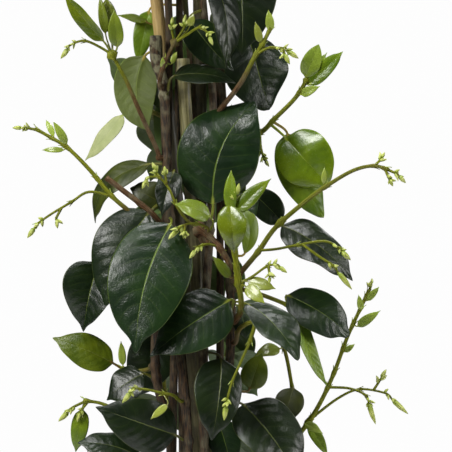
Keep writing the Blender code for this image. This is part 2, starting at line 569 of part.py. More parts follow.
def build_shoot(name, shoot, stem, parts, cutters):
    """A twig from the stem with its stalks, buds and leaves joined into one grown piece."""
    start, out = seat_on(stem, shoot.height, shoot.route[0], TWIG_GAP)
    steps = 2 if len(shoot.route) < 5 else 1
    route = [start] + smooth_route([start + out * TWIG_FOOT, *shoot.route], steps)
    twig = tube_mesh(name, route, taper(*shoot.radii, len(route)), 1, parts)
    routes = [route]
    for i, points in enumerate(shoot.stalks):
        root, lean = rooted(routes, points[0], points[1])
        stalk = [root] + [Vector(p) for p in points[1:]]
        routes.append(stalk[:-1])
        stalk = stalk[:-1] + [stalk[-2].lerp(stalk[-1], 0.45), stalk[-1]]
        radii = taper(0.75, 0.6, len(stalk) - 2) + [BUD_R, 0.5]
        join(twig, tube_mesh(f"{name}_stalk_{i + 1}", stalk, radii, 0, cutters))
    for i, blade in enumerate(shoot.leaves):
        root, lean = rooted([route], blade.base, blade.base)
        rows, across = (5, 2) if blade.width > 24 else (3, 2) if blade.width > 8 else (2, 1)
        join(twig, leaf_object(f"{name}_leaf_{i + 1}", blade, root, lean, rows, cutters, across))
    if shoot.leaves or shoot.stalks:
        dress(twig, *TONES[shoot.leaves[0].tone if shoot.leaves else "young"])
    else:
        dress(twig, BARK, 0.7)


def fill_shoot(stem, height, turn, reach, rise, leaf_length, pairs):
    """A leafy shoot by rule: opposite leaves that face outwards, every other pair turned further out."""
    angle = math.radians(turn)
    out = Vector((math.sin(angle), -math.cos(angle), 0.0))
    up = Vector((0, 0, 1))
    middle, radius = at_height(*stem, height)
    first = middle + out * (radius + 6) + up * 2
    route = [first, first + out * reach * 0.6 + up * rise * 0.4, first + out * reach + up * rise]
    ahead = (route[2] - route[0]).normalized()
    flat = ahead.cross(up).normalized()
    blades = []
    for pair in range(pairs):
        node = route[0].lerp(route[2], (pair + 0.8) / pairs)
        wide = 0.75 if pair % 2 == 0 else 0.4
        for sign in (-1, 1):
            aim = (flat * sign * wide + out * (1.15 - wide) + ahead * 0.15).normalized()
            size = leaf_length * (1.0 - 0.1 * pair)
            base = node + ahead * PAIR_STAGGER * sign + aim * 5
            tip = base + aim * size * 0.92 - up * size * 0.38
            blades.append(leaf(base, tip, size * 0.58, size * 0.08, 0, 8, out + up * 0.5))
    base = route[2] + ahead * 4
    tip = base + ahead * leaf_length * 0.7
    blades.append(leaf(base, tip, leaf_length * 0.34, leaf_length * 0.06, 0, 8, up * 0.5 + out))
    return Shoot(None, height, (1.4, 0.9), route, [], blades)


def build():
    clear_scene()
    parts = new_collection("potted_star_jasmine")
    cutters = new_collection("cutters")
    build_pot(parts, cutters)
    canes = {name: build_cane(name, *ends, parts) for name, ends in CANES.items()}
    build_soil(parts, cutters, canes)
    stems = build_stems(parts)
    for name, (stem, height, blade) in STEM_LEAVES.items():
        build_leaf(name, stems[stem], height, blade, parts)
    for name, shoot in SHOOTS.items():
        build_shoot(name, shoot, stems[shoot.stem], parts, cutters)
    for name, (stem, *numbers) in FILL_SHOOTS.items():
        build_shoot(name, fill_shoot(stems[stem], *numbers), stems[stem], parts, cutters)


build()
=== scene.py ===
# %% [markdown]
# # Potted star jasmine
# Star jasmine is an evergreen climber. This one grows up three bamboo canes in a plain round pot.
# The model is made piece by piece: pot and compost, canes, woody stems, the large glossy leaves
# that sit on those stems, and the side shoots with their young leaves and flower buds.
# Every surface is a formula worked out with numpy: a place on the surface follows from two numbers,
# one along the piece and one across or around it. That keeps leaves smooth at any size,
# and the same two numbers later tell the materials where the veins and the bark fibres run.

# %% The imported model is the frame
import math
from collections import namedtuple

import bpy
import numpy as np
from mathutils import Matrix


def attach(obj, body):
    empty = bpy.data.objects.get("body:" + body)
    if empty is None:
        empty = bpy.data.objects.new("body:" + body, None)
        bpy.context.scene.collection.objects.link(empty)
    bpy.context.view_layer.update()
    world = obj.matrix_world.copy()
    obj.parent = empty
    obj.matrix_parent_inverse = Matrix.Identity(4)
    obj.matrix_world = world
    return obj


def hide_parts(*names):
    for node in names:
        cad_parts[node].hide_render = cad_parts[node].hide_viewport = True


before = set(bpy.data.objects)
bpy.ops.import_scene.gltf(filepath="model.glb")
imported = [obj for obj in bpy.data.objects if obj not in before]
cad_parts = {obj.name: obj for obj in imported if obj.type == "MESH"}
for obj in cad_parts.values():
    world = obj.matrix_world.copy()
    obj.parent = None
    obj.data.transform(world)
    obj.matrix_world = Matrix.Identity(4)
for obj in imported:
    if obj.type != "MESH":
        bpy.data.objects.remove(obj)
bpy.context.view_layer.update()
MM = 0.001

# %% [markdown]
# ## Camera
# A plant is drawn without distortion by a long lens from a few metres away, at the height of its leaves.
# The camera looks along +Y, straight at the middle of the foliage.

# %% Camera
VIEW_CENTRE = (17.0, -15.0, 400.0)
VIEW_WIDTH = 226.0
VIEW_DISTANCE = 1700.0
FAR_CLIP = 50.0

lens = bpy.data.cameras.new("plant_camera")
lens.sensor_width = 36.0
lens.lens = lens.sensor_width * VIEW_DISTANCE / VIEW_WIDTH
lens.clip_end = FAR_CLIP
camera = bpy.data.objects.new("plant_camera", lens)
camera.location = (VIEW_CENTRE[0] * MM, (VIEW_CENTRE[1] - VIEW_DISTANCE) * MM, VIEW_CENTRE[2] * MM)
camera.rotation_euler = (math.radians(90), 0, 0)
bpy.context.scene.collection.objects.link(camera)
bpy.context.scene.camera = camera
print("focal length in mm:", round(lens.lens, 1))

# %% [markdown]
# ## Node trees
# The surroundings, the floor and every material are trees of nodes. Written out link by link they hide the arithmetic
# they do. Here an output is wrapped, so that a sign between two outputs adds the node that does that sum.

# %% Outputs that can be reckoned with
class Flow:
    """An output of a node. Its signs + - * / each add a Math node to the same tree."""

    def __init__(self, socket):
        self.socket = socket


def feed(socket, value):
    """Links an output to a socket or sets the socket: a tuple is a colour, and None leaves the socket alone."""
    if isinstance(value, Flow):
        socket.id_data.links.new(value.socket, socket)
    elif value is not None:
        socket.default_value = (*value, 1.0) if isinstance(value, tuple) else value


def add_node(tree, kind, *inputs, **options):
    """Adds a node, sets its options, then feeds its inputs in order."""
    item = tree.nodes.new("ShaderNode" + kind)
    for key, value in options.items():
        setattr(item, key, value)
    for socket, value in zip(item.inputs, inputs):
        feed(socket, value)
    return item


def step(kind, *inputs, output=0, **options):
    """Adds a node to the tree that its inputs come from, and gives one of its outputs."""
    tree = next(value.socket.id_data for value in inputs if isinstance(value, Flow))
    return Flow(add_node(tree, kind, *inputs, **options).outputs[output])


def reckon(operation, *inputs):
    """One step of arithmetic."""
    return step("Math", *inputs, operation=operation)


for sign, operation in (("add", "ADD"), ("sub", "SUBTRACT"), ("mul", "MULTIPLY"), ("truediv", "DIVIDE")):
    setattr(Flow, f"__{sign}__", lambda left, right, operation=operation: reckon(operation, left, right))
    setattr(Flow, f"__r{sign}__", lambda right, left, operation=operation: reckon(operation, left, right))


# %% Ramps, mixtures and inputs
def ramp(value, low, high, start=0.0, end=1.0):
    """Goes smoothly from start to end as the value goes from low to high."""
    return step("MapRange", value, low, high, start, end, interpolation_type="SMOOTHSTEP")


def mix_colour(share, first, second):
    """The first colour where share is 0 and the second where it is 1.
    Of the node's inputs, the five between share and the colours are for other kinds of mixture."""
    return step("Mix", share, *[None] * 5, first, second, output=2, data_type="RGBA")


def mix_number(share, first, second):
    """The first number where share is 0 and the second where it is 1."""
    return step("Mix", share, None, first, second)


def split(vector):
    """The three numbers of a vector."""
    item = add_node(vector.socket.id_data, "SeparateXYZ", vector)
    return [Flow(socket) for socket in item.outputs]


def object_spot(tree):
    """Where a point lies in its object, in metres."""
    return Flow(add_node(tree, "TexCoord").outputs["Object"])


def camera_only(tree):
    """1 for what the camera sees directly, 0 for light on its way to something else."""
    return Flow(add_node(tree, "LightPath").outputs["Is Camera Ray"])


def set_sockets(shader, values):
    """Feeds a shader's sockets by name."""
    for label, value in values.items():
        feed(shader.inputs[label], value)


# %% [markdown]
# ## Light
# Glossy leaves show what stands around them, so the lamps matter as much as the leaf material.
# Large soft panels give broad pale sheens with soft edges; a small lamp would give hard sparks.
# The white surroundings are seen by the camera at full strength but light the plant only weakly,
# so that the dark leaves stay dark.

# %% Lamps and surroundings
PLANT_MIDDLE = (0.0, 0.0, 0.4)
WHITE, WARM_WHITE = (1.0, 1.0, 1.0), (1.0, 0.99, 0.97)
ROOM_LIGHT, ROOM_WHITE = 0.05, 0.985


def panel(name, place, size, power, colour=WHITE):
    """A soft rectangular lamp at a place, turned towards the middle of the plant, all in metres."""
    lamp = bpy.data.lights.new(name, "AREA")
    lamp.shape = "RECTANGLE"
    lamp.size, lamp.size_y = size
    lamp.energy = power
    lamp.color = colour
    item = bpy.data.objects.new(name, lamp)
    item.location = place
    way = np.subtract(PLANT_MIDDLE, place)
    flat = math.atan2(way[1], way[0])
    tilt = math.atan2(-way[2], math.hypot(way[0], way[1]))
    item.rotation_euler = (math.pi / 2 - tilt, 0, flat - math.pi / 2)
    bpy.context.scene.collection.objects.link(item)


panel("panel_left", (-1.3, -1.1, 1.4), (0.7, 0.9), 40, WARM_WHITE)
panel("panel_right", (1.5, -0.3, 0.9), (0.4, 1.0), 12, WARM_WHITE)
panel("panel_top", (0.1, -0.3, 1.9), (0.7, 0.6), 24)
panel("panel_back", (0.3, 1.4, 1.0), (1.2, 1.0), 14)

world = bpy.data.worlds.new("pale_room")
world.use_nodes = True
bpy.context.scene.world = world
strength = ramp(camera_only(world.node_tree), 0.0, 1.0, ROOM_LIGHT, ROOM_WHITE)
set_sockets(world.node_tree.nodes["Background"], {"Color": WHITE, "Strength": strength})
bpy.context.scene.view_settings.view_transform = "Standard"
print("lamps:", len(bpy.data.lights))

# %% [markdown]
# The lamps reach only about a metre of the floor. In a studio the paper behind the plant is lit by lamps of its own.
# Here the floor gives up its paint colour with distance and shows the white of the surroundings instead,
# to the camera only, so no horizon shows and no extra light falls on the plant.

# %% Floor
FLOOR_HALF = 3.0
FLOOR_LIT_R, FLOOR_WHITE_R = 0.25, 0.9
FLOOR_GREY, FLOOR_ROUGH = 0.86, 0.8
BLACK = (0.0, 0.0, 0.0)

floor_finish = bpy.data.materials.new("floor_paint")
floor_finish.use_nodes = True
tree = floor_finish.node_tree
far = ramp(step("VectorMath", object_spot(tree), output="Value", operation="LENGTH"), FLOOR_LIT_R, FLOOR_WHITE_R)
set_sockets(tree.nodes["Principled BSDF"], {
    "Base Color": mix_colour(far, (FLOOR_GREY,) * 3, BLACK), "Roughness": FLOOR_ROUGH, "Emission Strength": 1.0,
    "Emission Color": mix_colour(far * camera_only(tree), BLACK, (ROOM_WHITE,) * 3)})

floor_mesh = bpy.data.meshes.new("floor")
floor_mesh.from_pydata([(x * FLOOR_HALF, y * FLOOR_HALF, 0) for x, y in ((-1, -1), (1, -1), (1, 1), (-1, 1))],
                       [], [(0, 1, 2, 3)])
floor_mesh.materials.append(floor_finish)
floor = bpy.data.objects.new("floor", floor_mesh)
bpy.context.scene.collection.objects.link(floor)
print("floor is white beyond", FLOOR_WHITE_R, "m")

# %% [markdown]
# ## Shapes as arrays
# A twig, a cane, a bud and even a leaf are the same kind of shape: a row of rings that follow a middle line.
# In a twig the rings are round; in a leaf they flatten out into two skins, the upper side and the underside.
# A curve object with a bevel could make the twigs, but not the leaves, and it gives no say over what each
# point knows about its place. So one function lays faces over any block of rings and closes both ends.

# %% Vectors and smooth lines
def unit(vectors):
    """Each vector divided by its length."""
    return vectors / np.maximum(np.linalg.norm(vectors, axis=-1, keepdims=True), 1e-9)


def smooth_line(points, steps):
    """Catmull-Rom: each span is a cubic, and its slope at a point is half the way between the point's neighbours."""
    knots = np.asarray(points, float)
    knots = np.vstack([2 * knots[0] - knots[1], knots, 2 * knots[-1] - knots[-2]])
    t = (np.arange(steps) / steps)[None, :, None]
    a, b, c, d = (part[:, None, :] for part in (knots[:-3], knots[1:-2], knots[2:-1], knots[3:]))
    curve = 0.5 * (2 * b + (c - a) * t + (2 * a - 5 * b + 4 * c - d) * t ** 2 + (3 * b - a - 3 * c + d) * t ** 3)
    return np.vstack([curve.reshape(-1, 3), knots[-2]])


def lengths_along(line):
    """Distance from a line's start to each of its points."""
    return np.concatenate([[0.0], np.cumsum(np.linalg.norm(np.diff(line, axis=0), axis=1))])


def read_line(line, scale, value):
    """The place on a line where a rising scale, its lengths or its heights, reaches a value."""
    return np.array([np.interp(value, scale, line[:, k]) for k in range(3)])


def side_and_up(line):
    """Two directions square to the line at each point, steadied by the direction in which the line bends least."""
    ahead = unit(np.gradient(line, axis=0))
    flattest = np.linalg.svd(line - line.mean(axis=0))[2][-1]
    side = unit(flattest - ahead * (ahead @ flattest)[:, None])
    return side, np.cross(ahead, side)


def nearest_on(line, place):
    """The closest point of a line to a place."""
    starts, steps = line[:-1], np.diff(line, axis=0)
    t = np.clip(np.sum((place - starts) * steps, axis=1) / np.sum(steps * steps, axis=1), 0, 1)
    spots = starts + steps * t[:, None]
    return spots[np.argmin(np.linalg.norm(spots - place, axis=1))]


# %% Rings
def turns(count):
    """The angles of a number of points that are spread evenly round a circle."""
    return 2 * np.pi * np.arange(count) / count


def rings_on(line, side, up, across, above):
    """Ring points: each point of the line + side * across + up * above."""
    side, up = np.atleast_2d(side)[:, None], np.atleast_2d(up)[:, None]
    return line[:, None] + side * across[..., None] + up * above[..., None]


def triples(*numbers):
    """Three numbers for every ring point; a number that is the same along or round the piece is repeated."""
    return np.stack(np.broadcast_arrays(*numbers), axis=-1)


# %% A closed skin over rings
def with_ends(block):
    """A block of ring points as a list, followed by the means of the first and the last ring."""
    return np.vstack([block.reshape(-1, 3), block[0].mean(axis=0), block[-1].mean(axis=0)])


def skin_over(rings, place, nature, finish):
    """Quads join each ring to the next; the end rings are closed by a fan of triangles to their middle.
    place and nature hold three numbers for every ring point and go with it into the mesh.
    The enclosed volume, a sum of corner triple products, must be positive, or every face is turned over."""
    n, m, _ = rings.shape
    grid = np.arange(n * m).reshape(n, m)
    right = np.roll(grid, -1, axis=1)
    quads = np.stack([grid[:-1], right[:-1], right[1:], grid[1:]], axis=-1).reshape(-1, 4)
    first = np.stack([np.full(m, n * m), right[0], grid[0]], axis=-1)
    last = np.stack([np.full(m, n * m + 1), grid[-1], right[-1]], axis=-1)
    tris = np.vstack([first, last])
    points = with_ends(rings)
    halves = np.vstack([quads[:, :3], quads[:, [0, 2, 3]], tris])
    a, b, c = (points[halves[:, k]] - points.mean(axis=0) for k in range(3))
    if np.sum(a * np.cross(b, c)) < 0:
        quads, tris = quads[:, ::-1], tris[:, ::-1]
    return {"points": points, "quads": quads, "tris": tris, "place": with_ends(place),
            "nature": with_ends(nature), "finish": finish}


# %% From skins to a piece of the plant
FINISHES = {}


def add_piece(name, skins, nodes, smooth=True):
    """Puts skins into one mesh, in metres, with their finishes and the two attributes that materials read:
    place (along, across or around, side) and nature (chance number and two more that depend on the finish)."""
    shift = np.cumsum([0] + [len(skin["points"]) for skin in skins])
    labels = list(dict.fromkeys(skin["finish"] for skin in skins))
    faces, kinds = [], []
    for skin, start in zip(skins, shift):
        faces += (skin["quads"] + start).tolist() + (skin["tris"] + start).tolist()
        kinds += [labels.index(skin["finish"])] * (len(skin["quads"]) + len(skin["tris"]))
    mesh = bpy.data.meshes.new(name)
    mesh.from_pydata(np.vstack([skin["points"] for skin in skins]) * MM, [], faces)
    for label in ("place", "nature"):
        values = np.vstack([skin[label] for skin in skins]).astype(np.float32)
        mesh.attributes.new(label, "FLOAT_VECTOR", "POINT").data.foreach_set("vector", values.ravel())
    mesh.polygons.foreach_set("material_index", np.array(kinds, np.int32))
    mesh.polygons.foreach_set("use_smooth", np.full(len(faces), smooth))
    for label in labels:
        mesh.materials.append(FINISHES[label])
    mesh.update()
    piece = bpy.data.objects.new(name, mesh)
    bpy.context.scene.collection.objects.link(piece)
    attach(piece, "root")
    if nodes:
        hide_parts(*nodes)
    return piece


# %% [markdown]
# ## The leaf
# A star jasmine leaf is leathery and egg-shaped, broadest just below its middle, with a drawn-out tip.
# Its midrib lies in a shallow fold, its margins roll down a little and wave, and it hangs on a short stalk,
# the petiole. A flat card with a picture would look thin from the side. Here the leaf is a row of rings:
# round in the petiole, then opening out to a thin lens, so the petiole runs into the midrib without a joint.

# %% What describes a leaf and a side shoot
Leaf = namedtuple("Leaf", "base tip width bow sweep fold face tone")
Shoot = namedtuple("Shoot", "stem height radii route stalks leaves")
FRONT = (0.0, -1.0, 0.35)


def leaf(base, tip, width, bow=2.0, sweep=0.0, fold=10.0, face=FRONT, tone="dark"):
    """A leaf blade from its base to its tip in mm, with its upper side turned towards face."""
    return Leaf(base, tip, width, bow, sweep, fold, face, tone)


def young(base, tip, width, bow=1.0, sweep=0.0, fold=10.0, face=FRONT):
    """A young leaf, bright and nearly flat."""
    return Leaf(base, tip, width, bow, sweep, fold, face, "young")


# %% Outline and points across a leaf
def smooth_step(x, low, high):
    """0 below low, 1 above high, and an S-shaped cubic between them."""
    t = np.clip((x - low) / (high - low), 0, 1)
    return t * t * (3 - 2 * t)


def blade_outline(u, fall, rise, beak):
    """Half width as a share of the greatest: u^rise * (1 - u)^fall, divided by its value at its peak,
    drawn in by 0.4 exp(-(u / 0.05)^2) so that the base is round, and by beak exp(-((u - 0.93) / 0.07)^2)
    so that the tip is drawn out to a beak."""
    peak = rise / (rise + fall)
    waist = (1 - 0.4 * np.exp(-(u / 0.05) ** 2)) * (1 - beak * np.exp(-((u - 0.93) / 0.07) ** 2))
    return (u / peak) ** rise * ((1 - u) / (1 - peak)) ** fall * waist


def ring_across(count):
    """Positions v round a flat ring: -1 to 1 over the upper side and back along the underside.
    v = s - 0.12 sin(2 pi s) sets the points closer at the midrib and at the margins."""
    s = np.linspace(-1, 1, count + 1)
    over = s - 0.12 * np.sin(2 * np.pi * s)
    v = np.concatenate([over, over[-2:0:-1]])
    face = np.concatenate([np.ones(count + 1), -np.ones(count - 1)])
    return v[None, :], face[None, :]


# %% Middle line of a leaf
PETIOLE_R = 0.62
PETIOLE_STEP = 1.3
TIP_TURN_STARTS = 0.55
RING_CROWDING = 0.4


def leaf_line(blade, root, lean, droop, tip_roll, rings):
    """The middle line is a cubic from the root to the blade's base, then base + chord u + upper side * bow 4u(1-u)
    + sideways * sweep 4u(1-u). droop bends the tip down with u^4, and tip_roll turns the last part of the blade
    about the midrib. The rings crowd towards both ends of the blade.
    Gives u, which is negative in the petiole, the line, its two side directions,
    and the lengths of petiole and blade."""
    base, tip = np.array(blade.base, float), np.array(blade.tip, float)
    chord = tip - base
    length = np.linalg.norm(chord)
    upper = np.array(blade.face, float)
    upper = unit(upper - chord * (upper @ chord) / length ** 2)
    aside = np.cross(chord / length, upper)

    s = np.linspace(0, 1, rings + 1)
    u = (1 - RING_CROWDING) * s + RING_CROWDING * (0.5 - 0.5 * np.cos(np.pi * s))
    hump = (4 * u * (1 - u))[:, None]
    midrib = base + chord * u[:, None] + upper * (blade.bow * hump - droop * length * u[:, None] ** 4)
    midrib = midrib + aside * blade.sweep * hump
    start_way = unit(chord + 4 * (upper * blade.bow + aside * blade.sweep))
    reach = np.linalg.norm(base - root)
    t = np.linspace(0, 1, int(np.clip(reach / PETIOLE_STEP, 3, 10)), endpoint=False)[:, None]
    petiole = (root * (1 - t) ** 3 + (root + lean * reach / 3) * 3 * t * (1 - t) ** 2
               + (base - start_way * reach / 3) * 3 * t * t * (1 - t) + base * t ** 3)
    line = np.vstack([petiole, midrib])
    u = np.concatenate([(t[:, 0] - 1) * reach / length, u])

    ahead = unit(np.gradient(line, axis=0))
    up = unit(upper - ahead * (ahead @ upper)[:, None])
    side = np.cross(ahead, up)
    roll = np.radians(tip_roll) * smooth_step(u, TIP_TURN_STARTS, 1.0)[:, None]
    side, up = side * np.cos(roll) + up * np.sin(roll), up * np.cos(roll) - side * np.sin(roll)
    return u, line, side, up, reach, length


# %% Leaf surface
BLADE_HALF_THICK = 0.16
BLADE_OPENS, STALK_COLOUR_ENDS = 0.07, 0.12
NECK_R, NECK_PER_WIDTH = 0.22, 0.03
RIB_R, RIB_PER_WIDTH = 0.5, 0.012
RIB_BELOW, RIB_GROOVE, FULL_RIB_WIDTH = 0.45, 0.12, 20
FOLD_LOSS, RIB_LOSS = 0.35, 0.8
WAVES, SWELLS, SWELL_HEIGHT, SKEW = 1.7, 1.1, 0.02, 0.04
LARGE_LEAF, MIDDLE_LEAF = 18, 9
LARGE_DETAIL, MIDDLE_DETAIL, SMALL_DETAIL = (36, 20), (26, 14), (14, 8)


def leaf_skin(blade, root, lean, chance, curl=0.12, wave=0.05, droop=0.0, tip_roll=0.0, fall=0.95,
              rise=0.5, beak=0.35, detail=None):
    """A ring point lies at sideways * v * half width, lifted by fold |v| - curl v^2 + a wave that grows with |v|^3,
    and by half the thickness towards its own face. The petiole keeps a round ring, and the blade opens just
    above its base. The midrib stands out on the underside and lies in a groove on the upper side; rib and fold
    lose a share of their depth towards the tip. chance sets where the waves start and how skewed the halves are."""
    if detail is None:
        detail = (LARGE_DETAIL if blade.width > LARGE_LEAF else MIDDLE_DETAIL if blade.width > MIDDLE_LEAF
                  else SMALL_DETAIL)
    u, line, side, up, reach, length = leaf_line(blade, root, lean, droop, tip_roll, detail[0])
    inside = np.clip(u, 0, 1)
    neck = min(PETIOLE_R, NECK_R + NECK_PER_WIDTH * blade.width)
    half = np.maximum(blade.width / 2 * blade_outline(inside, fall, rise, beak), np.where(u < 0.5, neck, 0.1))
    half = np.where(u < 0, neck * (1 + 0.25 * smooth_step(-u, 0.0, reach / length)), half)
    fold = np.sin(math.radians(blade.fold) * (1 - FOLD_LOSS * inside))[:, None]
    v, face = ring_across(detail[1])
    u, inside, half, opened = (part[:, None] for part in (u, inside, half, smooth_step(u, 0.0, BLADE_OPENS)))

    thick = opened * BLADE_HALF_THICK + (1 - opened) * neck * 0.85
    height = face * thick * np.sqrt(np.clip(1 - np.abs(v) ** (2 + 10 * opened), 0, 1))
    rib = np.exp(-(v * half / (RIB_R + RIB_PER_WIDTH * blade.width)) ** 2) * opened * (1 - RIB_LOSS * inside)
    height = height - np.where(face < 0, RIB_BELOW, RIB_GROOVE) * rib * min(1.0, blade.width / FULL_RIB_WIDTH)

    phase = chance * 6.28
    ripple = np.sin(2 * np.pi * (WAVES * u + 0.5 * np.sign(v) * chance) + phase) * np.abs(v) ** 3
    swell = SWELL_HEIGHT * np.sin(2 * np.pi * (SWELLS * u + 0.25 * v) + 2 * phase)
    lift = half * opened * (fold * (np.sqrt(v ** 2 + 0.002) - 0.045) - curl * v ** 2 + wave * ripple + swell)
    uneven = 1 + opened * SKEW * math.sin(3 * phase) * v
    narrow = np.where(opened > 0, np.cos(math.radians(blade.fold)) * opened + 1 - opened, 1)
    rings = rings_on(line, side, up, v * half * narrow * uneven, lift + height)
    stalked = np.where(u < 0, 1, (1 - smooth_step(u, 0, STALK_COLOUR_ENDS)) * np.exp(-(v * half / 0.8) ** 2))
    return skin_over(rings, triples(u, v, face), triples(np.float64(chance), np.float64(length), stalked), blade.tone)


# %% [markdown]
# ## Twigs, stalks and buds
# Woody stems and green stalks are round and thicken at their nodes, the places where leaves sit.
# A bevelled curve would give an even pipe; carrying a circle along the line by hand lets its radius
# follow the nodes and lets every point remember how woody it is there, brown bark or green skin.

# %% Round pieces
KNOT_SWELL, KNOT_LENGTH = 0.3, 1.3
END_REACH = 0.8
WOOD_CURVE = 0.6
DOME = [(0.8, 0.57, 0), (0.99, 0.14, 0)]
CUT = [(0.05, 0.97, 0.4), (0.08, 0.9, 0.6), (0.06, 0.6, 1), (0.02, 0.3, 1)]


def round_skin(line, radii, finish, chance, woody, around, end, knots, ridges=0.0):
    """Rings of radius r at each point of a line: r times (1 + swell exp(-(distance to a knot / its length)^2)).
    The end, DOME or CUT, gives for each further ring how far on it lies, its radius and how much it is cut wood,
    the first two as shares of the last radius. A dome is round; a cut turns in over a small edge and stays flat.
    woody and chance may be lists that are spread over the piece; woody changes fastest near its start."""
    s = lengths_along(line)
    side, up = side_and_up(line)
    radii = np.array(radii, float)
    for knot in knots:
        radii = radii * (1 + KNOT_SWELL * np.exp(-((s - knot) / KNOT_LENGTH) ** 2))
    share = s / s[-1]
    wood = np.interp(share ** WOOD_CURVE, np.linspace(0, 1, len(woody)), woody)
    onwards, smaller, cut = np.transpose(end)
    ahead = unit(line[-1] - line[-2])
    line = np.vstack([line, line[-1] + ahead * (radii[-1] * onwards[:, None] * END_REACH)])
    cut = np.concatenate([np.zeros(len(s)), cut])
    radii = np.concatenate([radii, radii[-1] * smaller])
    side, up = (np.vstack([part, np.repeat(part[-1:], len(end), axis=0)]) for part in (side, up))
    share, wood = (np.concatenate([part, np.repeat(part[-1:], len(end))]) for part in (share, wood))
    angle = turns(around)
    swell = 1 + ridges * (np.sin(3 * angle + s[-1])[None, :] + np.sin(5 * angle[None, :] + 14 * share[:, None]))
    reach = radii[:, None] * swell
    rings = rings_on(line, side, up, reach * np.cos(angle), reach * np.sin(angle))
    grey = np.interp(share, np.linspace(0, 1, np.size(chance)), np.atleast_1d(chance))
    return skin_over(rings, triples(share[:, None], angle / np.pi - 1, cut[:, None]),
                     triples(grey[:, None], wood[:, None] + 0 * angle, s[-1]), finish)


# %% Buds
BUD_RINGS = BUD_SIDES = 10


def bud_skin(foot, way, length, radius, chance):
    """A spindle whose radius is r sin(pi t^0.8)^0.8, wider at the calyx, with five petals wound round it:
    the radius also varies by cos(5 angle + 6 t)."""
    t = np.linspace(0.02, 0.98, BUD_RINGS)
    way = unit(np.asarray(way, float))
    line = np.asarray(foot, float) + way * (length * t)[:, None]
    helper = np.array([0.3, 0.5, 0.8]) if abs(way[2]) < 0.9 else np.array([1.0, 0.2, 0.0])
    side = unit(np.cross(way, helper))
    angle = turns(BUD_SIDES)
    body = np.sin(np.pi * t ** 0.8) ** 0.8 * (1 + 0.25 * np.exp(-((t - 0.22) / 0.1) ** 2))
    petals = 1 + 0.1 * np.cos(5 * angle[None, :] + 6 * t[:, None]) * smooth_step(t, 0.3, 0.5)[:, None]
    reach = radius * body[:, None] * petals
    rings = rings_on(line, side, np.cross(way, side), reach * np.cos(angle), reach * np.sin(angle))
    place = triples(t[:, None], angle / np.pi - 1, 0.0)
    return skin_over(rings, place, triples(chance, length, 0.0 * t[:, None]) + 0 * place, "bud")


# %% [markdown]
# ## Materials
# Veins, grain and mottling are effects that several finishes share, so each is a group of nodes with named inputs
# and outputs, made once. A leaf's own two numbers, along and across, drive the vein group,
# so the midrib follows every bend of the leaf without any picture being wrapped round it.

# %% Groups and material trees
def new_group(name, vectors, numbers, results):
    """An empty shader group whose inputs and outputs have the names given.
    Returns the group, its inputs by name and a function that sets an output."""
    tree = bpy.data.node_groups.new(name, "ShaderNodeTree")
    for labels, way, kind in (
            (vectors, "INPUT", "Vector"), (numbers, "INPUT", "Float"), (results, "OUTPUT", "Float")):
        for label in labels.split():
            tree.interface.new_socket(name=label, in_out=way, socket_type="NodeSocket" + kind)
    start, end = tree.nodes.new("NodeGroupInput"), tree.nodes.new("NodeGroupOutput")
    sources = {socket.name: Flow(socket) for socket in start.outputs if socket.name}
    return tree, sources, lambda label, value: feed(end.inputs[label], value)


def use_group(tree, group, **values):
    """Places a group in a tree, feeds its inputs by name and gives its outputs by name."""
    item = add_node(tree, "Group", node_tree=group)
    set_sockets(item, values)
    return {socket.name: Flow(socket) for socket in item.outputs}


def noise(vector, scale, detail=2.0):
    """Soft random clouds, about one per 1 / scale metres on object coordinates."""
    return step("TexNoise", vector, None, scale, detail)


def kept(tree, label):
    """The three numbers that the points of a mesh keep under a label, place or nature."""
    return Flow(add_node(tree, "Attribute", attribute_name=label).outputs["Vector"])


def new_material(name):
    """An empty material, its tree and where a point lies in its object."""
    material = bpy.data.materials.new(name)
    material.use_nodes = True
    return material, material.node_tree, object_spot(material.node_tree)


def finish_material(tree, values, height, strength, depth):
    """Feeds the shader by name, and its normal by a relief of a strength and a depth in metres."""
    bump = add_node(tree, "Bump", strength, depth)
    feed(bump.inputs["Height"], height)
    set_sockets(tree.nodes["Principled BSDF"], {**values, "Normal": Flow(bump.outputs["Normal"])})


# %% [markdown]
# ### Leaf veins
# The midrib is where the distance across is near zero, and it thins towards the tip.
# Side veins leave it in turn, left and right, and sweep towards the tip. Their pattern is a ruler of lines
# in the number (along - slant * across^1.4) * count; the distance to the nearest line gives
# both the vein's mask and the pillow-like bulge between two veins.

# %% Vein group
veins, given, put = new_group("leaf_veins", "Place", "Count Slant Midrib Wobble", "Midrib Laterals Pillow Margin")
along, across, _ = split(given["Place"])
off_middle = reckon("ABSOLUTE", across)
thin = given["Midrib"] * ramp(along, 0.0, 1.0, 1.25, 0.3)
swept = reckon("POWER", off_middle, 1.4) * given["Slant"]
ruler = (along - swept) * given["Count"] + reckon("SIGN", across) * 0.22 + given["Wobble"]
gap = reckon("PINGPONG", ruler, 0.5)
fade = ramp(off_middle, 0.55, 0.97, 1.0, 0.0)
put("Midrib", ramp(off_middle / thin, 0.35, 1.0, 1.0, 0.0))
put("Laterals", ramp(gap, 0.01, 0.08, 1.0, 0.0) * fade)
put("Pillow", ramp(gap, 0.0, 0.5) * fade)
put("Margin", ramp(off_middle, 0.965, 0.995))
